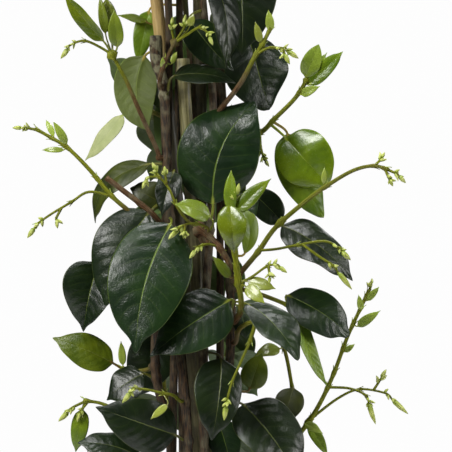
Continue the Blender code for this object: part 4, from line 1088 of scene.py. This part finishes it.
# %% Pot
POT_TOP_R, POT_BASE_R, POT_HEIGHT, POT_WALL, POT_FLOOR = 85.0, 62.0, 135.0, 2.4, 3.0
RIM_DEPTH, RIM_STEP, RIM_SLOPE = 14.0, 3.2, 1.5
AXIS_R = 0.5
DRAIN_HOLES, DRAIN_R, DRAIN_RING_R = 6, 5.0, 42.0
CUTTER_SIDES, CUTTER_REACH = 24, 8.0

rim_foot = POT_HEIGHT - RIM_DEPTH
pot_profile = rounded([
    (AXIS_R, 0), (POT_BASE_R, 0), (POT_TOP_R - RIM_STEP, rim_foot - RIM_SLOPE), (POT_TOP_R, rim_foot),
    (POT_TOP_R, POT_HEIGHT), (POT_TOP_R - POT_WALL, POT_HEIGHT), (POT_BASE_R - POT_WALL, POT_FLOOR),
    (AXIS_R, POT_FLOOR)])
pot = add_piece("pot_moulded", [turned_skin(pot_profile, "pot")], ["pot"])


def drain_cutter(turn):
    """A round bar through the floor at a turn about the axis, as an object of its own."""
    way = np.array([np.cos(turn), np.sin(turn), 0])
    line = np.array([(0, 0, -CUTTER_REACH), (0, 0, CUTTER_REACH)]) + DRAIN_RING_R * way
    angle = turns(CUTTER_SIDES)
    rings = line[:, None, :] + DRAIN_R * triples(np.cos(angle), np.sin(angle), 0 * angle)
    skin = skin_over(rings, 0 * rings, 0 * rings, "pot")
    mesh = bpy.data.meshes.new("drain_cutter")
    mesh.from_pydata(skin["points"] * MM, [], skin["quads"].tolist() + skin["tris"].tolist())
    cutter = bpy.data.objects.new("drain_cutter", mesh)
    bpy.context.scene.collection.objects.link(cutter)
    return cutter


cutters = [drain_cutter(turn) for turn in turns(DRAIN_HOLES)]
for cutter in cutters:
    hole = pot.modifiers.new("drain", "BOOLEAN")
    hole.object, hole.operation, hole.solver = cutter, "DIFFERENCE", "EXACT"
pierced = bpy.data.meshes.new_from_object(pot.evaluated_get(bpy.context.evaluated_depsgraph_get()))
pot.modifiers.clear()
pot.data = pierced
for cutter in cutters:
    bpy.data.objects.remove(cutter)
print("pot faces:", len(pot.data.polygons))

# %% [markdown]
# Compost settles a little below the rim. It is a lumpy disc that fills the pot, with loose crumbs on top.
# A crumb is an octahedron pushed out of shape. Its eight faces are enough, because a crumb is only two or three
# millimetres wide and there are several hundred of them.

# %% Compost and crumbs
SOIL_TOP = 118.0
SOIL_GAP, SOIL_DROP, SOIL_SAG, SOIL_LUMPS, SOIL_RINGS = 0.4, 0.6, 1.4, 0.45, 48
CRUMBS, CRUMB_DROP, CRUMB_MARGIN = 420, 0.4, 3
CRUMB_CORNERS = np.array([(1, 0, 0), (0, 1, 0), (-1, 0, 0), (0, -1, 0), (0, 0, 1), (0, 0, -1)], float)
CRUMB_SIDES = np.array([(0, 1, 4), (1, 2, 4), (2, 3, 4), (3, 0, 4), (1, 0, 5), (2, 1, 5), (3, 2, 5), (0, 3, 5)])

widening = (POT_TOP_R - POT_BASE_R) * (SOIL_TOP - 2 - POT_FLOOR) / (POT_HEIGHT - POT_FLOOR)
inner_wall = POT_BASE_R - POT_WALL + widening
over = np.linspace(inner_wall - SOIL_GAP, AXIS_R, SOIL_RINGS)
soil_foot = [(AXIS_R, POT_FLOOR + SOIL_GAP), (POT_BASE_R - POT_WALL - SOIL_GAP, POT_FLOOR + SOIL_GAP)]
soil_top = np.stack([over, SOIL_TOP - SOIL_DROP - SOIL_SAG * (over / inner_wall) ** 6], axis=-1)
compost = turned_skin(np.vstack([soil_foot, soil_top]), "compost", SOIL_LUMPS)

luck = np.random.default_rng(7)
size = luck.uniform(0.6, 1.9, (CRUMBS, 1, 1)) * luck.uniform(0.6, 1.3, (CRUMBS, 6, 1))
flat = luck.uniform(0.5, 1.0, (CRUMBS, 1, 3)) * np.array([1.0, 1.0, 0.6])
angle = luck.uniform(0, 2 * np.pi, CRUMBS)
reach = np.sqrt(luck.uniform(0, 1, CRUMBS)) * (inner_wall - CRUMB_MARGIN)
spot = triples(reach * np.cos(angle), reach * np.sin(angle), SOIL_TOP - CRUMB_DROP)
points = (spot[:, None, :] + CRUMB_CORNERS * size * flat).reshape(-1, 3)
tint = np.repeat(luck.uniform(0, 1, CRUMBS) ** 3, len(CRUMB_CORNERS))
crumbs = {"points": points, "quads": np.zeros((0, 4), int),
          "tris": (CRUMB_SIDES + len(CRUMB_CORNERS) * np.arange(CRUMBS)[:, None, None]).reshape(-1, 3),
          "place": np.zeros_like(points), "nature": triples(tint, 0.0, 0.0), "finish": "compost"}
add_piece("compost_surface", [compost], ["soil"])
add_piece("compost_crumbs", [crumbs], [], smooth=False)
print("compost inside radius in mm:", round(inner_wall, 1), "crumbs:", CRUMBS)

# %% [markdown]
# ## Bamboo canes
# A cane is nearly straight. At each node it swells to a ring, with a groove where a sheath once sat just below it.
# The cut top shows the hollow inside, so the rings run up the outside, over the cut edge and down into the bore.

# %% Canes
CANE_R, CANE_SIDES, CANE_BEND = 3.2, 24, 0.8
CANE_NODE_PITCH, CANE_RING_PITCH = 118.0, 8.0
BORE_R, BORE_DEPTH = 1.7, 14.0
CANE_EDGE = 0.3
FIRST_NODE_SHARE, TOP_CLEAR, NODE_WINDOW = 0.7, 20, (-6, 5, 23)


def cane_skin(foot, top, weathered_and_shaded, more_nodes):
    """Radius along s: R + 0.5 exp(-((s - n) / 1.5)^2) - 0.28 exp(-((s - n + 2.6) / 0.7)^2) for every node n.
    The third argument holds pairs of height and how dark the cane is there: partly weathering, partly painted shade
    inside the foliage. more_nodes holds distances from the top. In the bore of a cut top the cane darkens downwards,
    as painted shade."""
    foot, top = np.array(foot, float), np.array(top, float)
    length = np.linalg.norm(top - foot)
    nodes = np.arange(CANE_NODE_PITCH * FIRST_NODE_SHARE, length - TOP_CLEAR, CANE_NODE_PITCH)
    nodes = np.concatenate([nodes, [length - n for n in more_nodes]])
    near = (nodes[:, None] + np.linspace(*NODE_WINDOW)).ravel()
    last = length - CANE_EDGE
    s = np.unique(np.concatenate([np.arange(0, last, CANE_RING_PITCH), near[near < last], [last]]))
    away = s[:, None] - nodes
    outer = CANE_R + np.sum(0.5 * np.exp(-(away / 1.5) ** 2) - 0.28 * np.exp(-((away + 2.6) / 0.7) ** 2), axis=1)
    dirt_and_shade = np.sum(np.exp(-((away + 2.0) / 1.1) ** 2), axis=1)
    # In the bore of the cut top the ring number grows with depth: painted shade.
    end_s, end_reach, end_dirt_and_shade = np.transpose([
        (length, CANE_R - 0.25, 0.6), (length, BORE_R + 0.2, 0.3), (last, BORE_R, 0.9),
        (length - BORE_DEPTH, BORE_R, 1.2)])
    s, reach, dirt_and_shade = (np.concatenate(pair) for pair in ((s, end_s), (outer, end_reach), (dirt_and_shade, end_dirt_and_shade)))
    along = (top - foot) / length
    side = unit(np.cross(along, (0.0, 1.0, 0.2)))
    angle = turns(CANE_SIDES)
    line = foot + along * s[:, None] + side * (CANE_BEND * np.sin(2.6 * np.pi * s / length))[:, None]
    oval = reach[:, None] * (1 + 0.02 * np.cos(2 * angle))
    rings = rings_on(line, side, np.cross(side, along), oval * np.cos(angle), oval * np.sin(angle))
    age_and_shade = np.interp(line[:, 2], *np.transpose(weathered_and_shaded))
    return skin_over(rings, triples((s / length)[:, None], angle / np.pi - 1, 0.0),
                     triples(age_and_shade[:, None], dirt_and_shade[:, None] + 0 * angle, length), "bamboo")


# How dark each cane is by height: darkest inside the foliage, partly weathering and partly painted shade.
CANE_AGE_AND_SHADE = {"cane_left": [(150, 0.8), (470, 0.95), (497, 0.05), (655, 0.2)],
            "cane_front": [(150, 0.9), (440, 0.85), (460, 0.6), (484, 0.7)],
            "cane_back": [(150, 0.9), (500, 0.9), (560, 0.4), (655, 0.2)]}
MORE_NODES = {"cane_front": [6.0]}
for name, weathered_and_shaded in CANE_AGE_AND_SHADE.items():
    skin = cane_skin(*CANES[name], weathered_and_shaded, MORE_NODES.get(name, []))
    add_piece(f"{name}_grown", [skin], [name])
print("canes:", len(CANES))

# %% [markdown]
# ## Woody stems
# Stems wander upwards between the canes. Wherever a leaf or a side shoot sits, the stem is thicker.
# One stem was pruned: it ends in a barrel-shaped stub, with a dark ring of bark round the cut.

# %% Middle lines of the stems
STEM_STEP = 30
SEAT_DEPTH = 0.5
ROOT_DEPTHS, ROOT_FLARE = np.array([[6.0], [3.0]]), (1.3, 1.12)
PRUNED_STEM = "stem_front_left"
STUB_RADII = (118, 430, 470, 477, 482, 492, 495), (2.7, 2.3, 2.5, 2.75, 3.2, 3.3, 2.9)


def stem_line(name):
    """Middle line and radius of a stem; the line is taken a little way down into the compost."""
    foot_r, top_r, points = STEMS[name]
    line = smooth_line(points, STEM_STEP)
    radii = np.interp(line[:, 2], *STUB_RADII) if name == PRUNED_STEM else np.linspace(foot_r, top_r, len(line))
    root = line[0] - unit(line[1] - line[0]) * ROOT_DEPTHS
    return np.vstack([root, line]), np.concatenate([[radii[0] * flare for flare in ROOT_FLARE], radii])


stems = {name: stem_line(name) for name in STEMS}
sitting = {name: [] for name in STEMS}
for stem, height, *_ in [*STEM_LEAVES.values(), *SHOOTS.values(), *FILL_SHOOTS.values()]:
    sitting[stem].append(height)


def stem_point(stem, height):
    """The stem's middle line at a height."""
    line = stems[stem][0]
    return read_line(line, line[:, 2], height)


def seat(stem, height, towards):
    """Where something grows out of a stem: a point under the bark, the level way out of it, and the stem's radius."""
    line, radii = stems[stem]
    middle = stem_point(stem, height)
    radius = float(np.interp(height, line[:, 2], radii))
    out = unit((np.asarray(towards, float) - middle) * (1, 1, 0))
    return middle + out * radius * SEAT_DEPTH, out, radius


# %% Stems
STEM_SIDES, STEM_RIDGES = 16, 0.025
# How much pale grey each stem shows: the stems at the back and in the middle show little and look darker, partly
# their own bark and partly painted shade.
STEM_GREYNESS = {"stem_left": 0.1, "stem_front": 0.5, "stem_right": 0.3, "stem_back_right": 0.1,
                 "stem_back_left": 0.15, "stem_core": 0.2}
STEM_WOODY = [1.0, 1.0, 1.0, 1.0, 0.95, 0.8, 0.5]
STUB_GREYNESS = [0.25] * 9 + [3.5]
for name, (line, radii) in stems.items():
    knots = np.interp(sitting[name], line[:, 2], lengths_along(line))
    looks = (STUB_GREYNESS, [1.0], STEM_SIDES, CUT) if name == PRUNED_STEM else (
        STEM_GREYNESS[name], STEM_WOODY, STEM_SIDES, DOME)
    add_piece(f"{name}_grown", [round_skin(line, radii, "stem", *looks, knots, STEM_RIDGES)], [name])
print("stems:", len(stems), "with seats:", sum(len(found) for found in sitting.values()))

# %% [markdown]
# ## Leaves on the stems
# The largest leaves decide how the plant looks, so each has its own curl, wave and droop.
# Numbers for the rest come from a random generator with a fixed seed, so every run grows the same plant.

# %% Leaves with a character of their own: the name, or the shoot and the number of the leaf on it
CHARACTER = {
    "leaf_centre": dict(curl=0.18, wave=0.07, tip_roll=35, fall=0.66, chance=0.95, beak=0.1),
    "leaf_front_left": dict(curl=0.2, wave=0.05, droop=0.02, fall=0.8, beak=0.5),
    "leaf_diagonal": dict(curl=0.14, wave=0.04),
    "leaf_shiny": dict(curl=0.1, wave=0.06, fall=0.55, beak=0.05),
    "leaf_underside": dict(curl=0.2, wave=0.05, beak=0.1),
    "leaf_upper_right": dict(curl=0.2, wave=0.07, tip_roll=8, fall=0.6, chance=0.5, beak=0.1),
    "leaf_across": dict(chance=0.05, tip_roll=0),
    "leaf_top_left": dict(curl=0.16, tip_roll=0, chance=0.3),
    "leaf_top_centre": dict(curl=0.1, chance=0.2, tip_roll=0),
    "leaf_low_left": dict(curl=0.2, chance=0.2, tip_roll=0),
    "leaf_arched": dict(tip_roll=5, chance=0.6),
    "leaf_small_right": dict(curl=0.1, wave=0.04, tip_roll=0, fall=0.6),
    ("shoot_centre", 0): dict(curl=0.3, wave=0.06, droop=0.05, fall=0.5, rise=1.0, chance=0.35, beak=0.1),
    ("shoot_centre", 1): dict(fall=0.6, rise=0.8, chance=0.6),
    ("shoot_right_low", 0): dict(curl=0.12, wave=0.04, fall=0.6, tip_roll=0),
    ("shoot_right_low", 1): dict(curl=0.1, wave=0.04, fall=0.8, chance=0.7),
    ("shoot_right_down", 0): dict(fall=0.7, chance=0.3),
    ("shoot_right_fork", 0): dict(curl=0.25, wave=0.08, fall=0.7, chance=0.7, beak=0.1),
    ("shoot_right_fork", 1): dict(curl=0.04, beak=0.1, fall=0.75, chance=0.98),
    ("shoot_right_fork", 2): dict(curl=0.04, chance=0.98),
    ("shoot_right_fork", 3): dict(curl=0.04, fall=0.8, chance=0.98),
    ("shoot_right_fork", 4): dict(curl=0.04, chance=0.95),
    ("shoot_right_fork", 5): dict(curl=0.2, wave=0.07, fall=0.6, chance=0.9, beak=0.1),
    ("shoot_left", 0): dict(beak=0.1, chance=0.98),
    ("shoot_left", 1): dict(chance=0.95),
    ("shoot_left", 2): dict(chance=0.95),
    ("shoot_back_left", 0): dict(curl=0.05, wave=0.08, tip_roll=0, chance=0.9),
}
for number, chance in enumerate((0.98, 0.96, 0.96, 0.94)):
    CHARACTER["shoot_far_right", number] = dict(curl=0.05, chance=chance)
MORE_LEAVES = {"shoot_right_fork": [young((47, -2, 444.5), (68, -8, 421), 31, 3, 0, 24, (-0.4, -1, 0.3))]}
print("leaves with a character of their own:", len(CHARACTER))

# %% Leaves on the stems
luck = np.random.default_rng(41)


def leaf_character():
    """Random shape numbers for an ordinary leaf."""
    return dict(curl=luck.uniform(0.06, 0.2), wave=luck.uniform(0.03, 0.09), droop=luck.uniform(0.0, 0.05),
                tip_roll=luck.uniform(-25, 25), fall=luck.uniform(0.78, 0.98))


def shape_of(key):
    """The shape numbers of a leaf's skin: random ones, unless the leaf has a character of its own."""
    return {"chance": luck.uniform(), **leaf_character(), **CHARACTER.get(key, {})}


for name, (stem, height, blade) in STEM_LEAVES.items():
    root, out, _ = seat(stem, height, blade.base)
    add_piece(f"{name}_grown", [leaf_skin(blade, root, out, **shape_of(name))], [name])
print("leaves on the stems:", len(STEM_LEAVES))

# %% [markdown]
# The inside of the plant is crowded with older leaves that hang close to the stems. They are hard to see one by one,
# but without them daylight would show between the stems and the plant would look like a fence.

# %% Inner leaves: stem, height of the seat, blade
INNER_LEAVES = [
    ("stem_left", 408, leaf((-15, -13, 411), (-31, -12, 419), 17, 2, 0, 8, (-0.2, -0.9, 0.5), "shade")),
    ("stem_front", 508, leaf((-1, -13, 503), (21, -15, 478), 20, 2, 2, face=(0.1, -1, 0.4))),
    ("stem_left", 424, leaf((-9, -21, 427), (-15, -27, 405), 14, 2, 0, 18, (-0.3, -1, 0.1))),
    ("stem_back_left", 512, leaf((-22, 9, 509), (-28, 7, 482), 11, 1, 0, 10, (0, -1, 0.2), "mid")),
    ("stem_right", 396, leaf((23, -12, 402), (33, -16, 416), 12, 1)),
    ("stem_right", 346, leaf((25, -10, 356), (27, -13, 344), 11, 1)),
    ("stem_front", 306, leaf((13, -13, 303), (20, -15, 279), 17)),
    ("stem_back_left", 500, leaf((-6, 17, 508), (-3, 19, 460), 26, face=(0, 1, 0.2))),
    ("stem_back_left", 470, leaf((-9, 18, 470), (-8, 20, 420), 24, face=(0, 1, 0.2))),
    ("stem_back_right", 440, leaf((4, 20, 450), (2, 22, 404), 24, face=(0, 1, 0.2))),
    ("stem_back_right", 470, leaf((10, 17, 480), (6, 18, 452), 15, face=(0, 1, 0.2))),
    ("stem_back_left", 410, leaf((-4, 18, 412), (-4, 20, 368), 24, face=(0, 1, 0.2))),
    ("stem_back_right", 380, leaf((6, 20, 385), (4, 21, 340), 24, face=(0, 1, 0.2))),
    ("stem_back_left", 350, leaf((-14, 18, 345), (-30, 17, 312), 26, face=(0, -1, 0.3))),
    ("stem_right", 496, leaf((17, 4, 494), (19, 24, 476), 17, 2, 0, 8, (1, 0, 0.3))),
    ("stem_right", 458, leaf((20, 3, 456), (21, 24, 436), 18, 2, 0, 8, (1, 0, 0.3))),
    ("stem_right", 424, leaf((18, -1, 422), (20, 20, 402), 17, 2, 0, 8, (1, 0.1, 0.3))),
    ("stem_right", 384, leaf((20, 4, 380), (22, 27, 362), 18, 2, 0, 8, (1, 0, 0.3))),
    ("stem_right", 330, leaf((18, 3, 328), (20, 24, 306), 18, 2, 0, 8, (1, 0.1, 0.3))),
    ("stem_left", 480, leaf((-15, 2, 478), (-17, 23, 460), 17, 2, 0, 8, (-1, 0, 0.3))),
    ("stem_left", 430, leaf((-15, 2, 428), (-17, 23, 408), 18, 2, 0, 8, (-1, 0, 0.3))),
    ("stem_left", 372, leaf((-15, 2, 370), (-17, 24, 350), 18, 2, 0, 8, (-1, 0.1, 0.3))),
    ("stem_left", 310, leaf((-15, 2, 308), (-17, 23, 288), 18, 2, 0, 8, (-1, 0, 0.3))),
]
for number, (stem, height, blade) in enumerate(INNER_LEAVES):
    root, out, _ = seat(stem, height, blade.base)
    skin = leaf_skin(blade, root, out, luck.uniform(), **leaf_character())
    add_piece(f"inner_leaf_{number + 1}", [skin], [])
print("inner leaves:", len(INNER_LEAVES))

# %% [markdown]
# ## Side shoots
# Most shoots are woody and brown where they leave the stem and green at the tip. Leaves sit at the nodes,
# with two small scales at each, and thin stalks carry the flower buds in clusters.
# Everything starts inside the twig it grows from, so nothing floats and no joint shows.

# %% Flower buds in clusters, and scales
SIDE_BUDS, CLUSTER_LENGTH = 6, 7.0
SCALE_DETAIL = (6, 4)
TWIG_SCALE, STALK_SCALE = 3.0, 2.0


def point_on(line, s, distance):
    """The place on a line at a distance from its start, and the line's direction there."""
    spot, beyond = (read_line(line, s, d) for d in (distance - 0.5, distance + 0.5))
    return (spot + beyond) / 2, unit(beyond - spot)


def bud_cluster(line, tip):
    """A main bud from the stalk's end to the tip, and smaller ones that leave the last 7 mm of the stalk sideways."""
    end = line[-1]
    way = np.asarray(tip, float) - end
    length = np.linalg.norm(way)
    skins = [bud_skin(end - way * 0.08, way, length + 0.6, min(0.12 * length + 0.5, 1.3), luck.uniform())]
    s = lengths_along(line)
    for back in luck.uniform(0, min(CLUSTER_LENGTH, 0.5 * s[-1]), SIDE_BUDS):
        spot, ahead = point_on(line, s, s[-1] - back)
        side = unit(np.cross(ahead, luck.normal(size=3)))
        aim = ahead * luck.uniform(0.4, 1.2) + side
        skins.append(bud_skin(spot, aim, luck.uniform(2.0, 4.4), luck.uniform(0.5, 0.85), luck.uniform()))
    return skins


def scales(line, s_node, size):
    """Two opposite pointed scales beside a node."""
    spot, ahead = point_on(line, lengths_along(line), s_node)
    side = unit(np.cross(ahead, (luck.uniform(-0.5, 0.5), 1.0, 0.3)))
    skins = []
    for out in (-side, side):
        base = spot + out * 0.9
        blade = young(base, base + ahead * size + out * size * 0.35, size * 0.42, -0.25 * size / 3, 0, 15, out)
        skins.append(leaf_skin(blade, spot, out, luck.uniform(), detail=SCALE_DETAIL))
    return skins


# %% One shoot
TWIG_FOOT = 2.2
TWIG_SIDES, STALK_SIDES = 10, 8
TWIG_STEP, STALK_STEP = 6, 6
STALK_R = 0.75, 0.5
BUD_STARTS = 0.3
TWIG_WOODY = {
    "shoot_upper_right": (1.0, 1.0, 1.0, 0.9, 0.3, 0.0), "shoot_right_fork": (1.0, 1.0, 0.9, 0.2, 0.0, 0.0),
    "shoot_centre": (1.0, 1.0, 0.5, 0.3, 0.0, 0.0), "shoot_young_top": (1.0, 1.0, 1.0, 0.6),
    "shoot_long_right": (1.0, 0.9, 0.3, 0.3, 0.35, 0.4), "shoot_left": (1.0, 1.0, 0.8, 0.2, 0.0, 0.0),
    "shoot_top_left": (1.0, 1.0, 1.0, 0.9, 0.55, 0.1), "shoot_far_right": (0.3, 0.15, 0.1, 0.1),
    "stalk_left": (1.0, 1.0), "twig_cut": (1.0, 1.0), "stalk_low_left": (0.4, 0.0), "shoot_pale_low": (0.4, 0.0)}
TWIG_USUALLY = (1.0, 0.15)


def grow_stalk(points, lines, woody_end):
    """A flower stalk with scales at its nodes and a cluster of buds. It starts on the nearest of the lines."""
    first, bend, tip = (np.asarray(points[k], float) for k in (0, -2, -1))
    foot = min((nearest_on(found, first) for found in lines), key=lambda place: np.linalg.norm(place - first))
    stalk = smooth_line([foot, *points[1:-1], bend + (tip - bend) * BUD_STARTS], STALK_STEP)
    lines.append(stalk)
    joints = lengths_along(stalk)[STALK_STEP:-STALK_STEP:STALK_STEP][1::2]
    radii = np.linspace(*STALK_R, len(stalk))
    woody = (max(0.0, woody_end - 0.3), 0.0)
    skins = [round_skin(stalk, radii, "twig", luck.uniform(), woody, STALK_SIDES, DOME, joints)]
    for joint in joints:
        skins += scales(stalk, joint, STALK_SCALE)
    return skins + bud_cluster(stalk, points[-1])


def grow_shoot(name, shoot):
    """All skins of a shoot: twig, scales, flower stalks with buds, leaves."""
    root, out, radius = seat(shoot.stem, shoot.height, shoot.route[0])
    start = root + out * (radius * 0.5 + 0.5 + TWIG_FOOT)
    line = smooth_line([root, start, *shoot.route], TWIG_STEP)
    s = lengths_along(line)
    spots = [np.asarray(blade.base) for blade in shoot.leaves] + [np.asarray(points[0]) for points in shoot.stalks]
    knots = np.array([s[np.argmin(np.linalg.norm(line - spot, axis=1))] for spot in spots])
    radii = np.linspace(shoot.radii[0] * 1.1, shoot.radii[1], len(line))
    woody = TWIG_WOODY.get(name, TWIG_USUALLY)
    end = CUT if name == "twig_cut" else DOME
    skins = [round_skin(line, radii, "twig", luck.uniform(0.2, 0.6), woody, TWIG_SIDES, end, knots)]
    for knot in np.unique(np.round(knots[knots > 4], 0)):
        skins += scales(line, knot, TWIG_SCALE)
    lines = [line]
    for points in shoot.stalks:
        skins += grow_stalk(points, lines, woody[-1])
    for number, blade in enumerate(shoot.leaves + MORE_LEAVES.get(name, [])):
        foot = nearest_on(line, np.asarray(blade.base, float))
        lean = unit(np.asarray(blade.base, float) - foot)
        skins.append(leaf_skin(blade, foot, lean, **shape_of((name, number))))
    return skins


for name, shoot in SHOOTS.items():
    add_piece(f"{name}_grown", grow_shoot(name, shoot), [name])
print("side shoots:", len(SHOOTS))

# %% [markdown]
# ## Leafy shoots by rule
# Crown, back and foot of the plant follow the rule that star jasmine itself follows: leaves in pairs,
# with one leaf at the tip. Every other pair is turned further outwards.

# %% Shoots by rule
UP = np.array([0.0, 0.0, 1.0])
TWIG_R = 1.4, 0.9
FIRST_PAIR, PAIR_STAGGER, PETIOLE = 0.8, 0.8, 5
WIDE_PAIR, NARROW_PAIR = 0.75, 0.4
LEAF_WIDTH, LEAF_BOW = 0.56, 0.08
TIP_LEAF_LENGTH, TIP_LEAF_WIDTH, TIP_LEAF_BOW = 0.7, 0.34, 0.06


def fill_shoot(stem, height, turn, reach, rise, leaf_length, pairs, spread=1.0):
    """A twig that leaves the stem level, at a turn from the front, and climbs; its leaves face outwards and hang,
    every other pair is turned further out, and each pair is a tenth smaller than the one below.
    A spread below 1 makes the pairs narrower, and chance moves each tip and each face a little."""
    angle = math.radians(turn)
    out = np.array([math.sin(angle), -math.cos(angle), 0.0])
    root, _, radius = seat(stem, height, stem_point(stem, height) + out)
    first = root + out * (radius * 0.5 + 6) + UP * 2
    route = [first, first + out * reach * 0.6 + UP * rise * 0.4, first + out * reach + UP * rise]
    ahead = unit(route[2] - route[0])
    flat = unit(np.cross(ahead, UP))
    blades = []
    for pair in range(pairs):
        node = route[0] + (route[2] - route[0]) * (pair + FIRST_PAIR) / pairs
        wide = spread * (WIDE_PAIR if pair % 2 == 0 else NARROW_PAIR)
        for sign in (-1, 1):
            aim = unit(flat * sign * wide + out * (1.15 - wide) + ahead * 0.15)
            size = leaf_length * (1 - 0.1 * pair) * luck.uniform(0.86, 1.04)
            base = node + ahead * PAIR_STAGGER * sign + aim * PETIOLE
            hang = luck.uniform(0.4, 0.75)
            tip = base + aim * size * math.sqrt(1 - hang * hang) - UP * size * hang + luck.normal(0, 1.2, 3)
            face = out + UP * 0.45 + flat * luck.uniform(-0.35, 0.35)
            blades.append(leaf(base, tip, size * LEAF_WIDTH, size * LEAF_BOW, 0, luck.uniform(4, 16), face))
    base = route[2] + ahead * 4
    tip = base + ahead * leaf_length * TIP_LEAF_LENGTH
    blades.append(leaf(base, tip, leaf_length * TIP_LEAF_WIDTH, leaf_length * TIP_LEAF_BOW, 0, 8, UP * 0.5 + out))
    return Shoot(stem, height, TWIG_R, route, [], blades)


for name, numbers in FILL_SHOOTS.items():
    add_piece(f"{name}_grown", grow_shoot(name, fill_shoot(*numbers)), [name])
print("shoots by rule:", len(FILL_SHOOTS))

# %% [markdown]
# Shorter sprays by the same rule close the gaps between those shoots, low down, at the back and in the crown,
# so that the plant is bushy from every side.

# %% Sprays: stem, height, turn, reach, rise, leaf length, pairs, spread
SPRAYS = [
    ("stem_left", 238, -70, 15, 26, 32, 3, 1.0), ("stem_front", 222, -10, 15, 26, 32, 3, 1.0),
    ("stem_right", 232, 75, 15, 24, 32, 3, 1.0), ("stem_left", 196, -40, 13, 24, 32, 2, 1.0),
    ("stem_right", 190, 40, 13, 24, 32, 2, 1.0), ("stem_back_left", 214, 215, 18, 34, 32, 3, 1.0),
    ("stem_back_right", 180, 150, 16, 34, 32, 3, 1.0), ("stem_back_left", 300, 195, 16, 36, 32, 3, 0.6),
    ("stem_back_right", 322, 165, 16, 36, 32, 3, 0.5), ("stem_back_right", 402, 170, 16, 36, 30, 3, 0.45),
    ("stem_back_left", 428, 188, 16, 34, 30, 3, 0.45), ("stem_back_right", 476, 172, 16, 34, 30, 3, 0.45),
    ("stem_front", 524, 30, 14, 26, 32, 2, 1.0), ("stem_left", 590, -60, 14, 36, 32, 3, 1.0),
    ("stem_right", 600, 110, 14, 34, 32, 3, 1.0), ("stem_back_left", 580, 215, 14, 36, 32, 3, 1.0),
    ("stem_front", 590, -25, 14, 36, 32, 3, 1.0), ("stem_right", 586, 30, 14, 34, 32, 3, 1.0),
]
for number, numbers in enumerate(SPRAYS):
    name = f"spray_{number + 1}"
    add_piece(name, grow_shoot(name, fill_shoot(*numbers)), [])
print("sprays:", len(SPRAYS), "faces in all:", sum(len(found.polygons) for found in bpy.data.meshes))
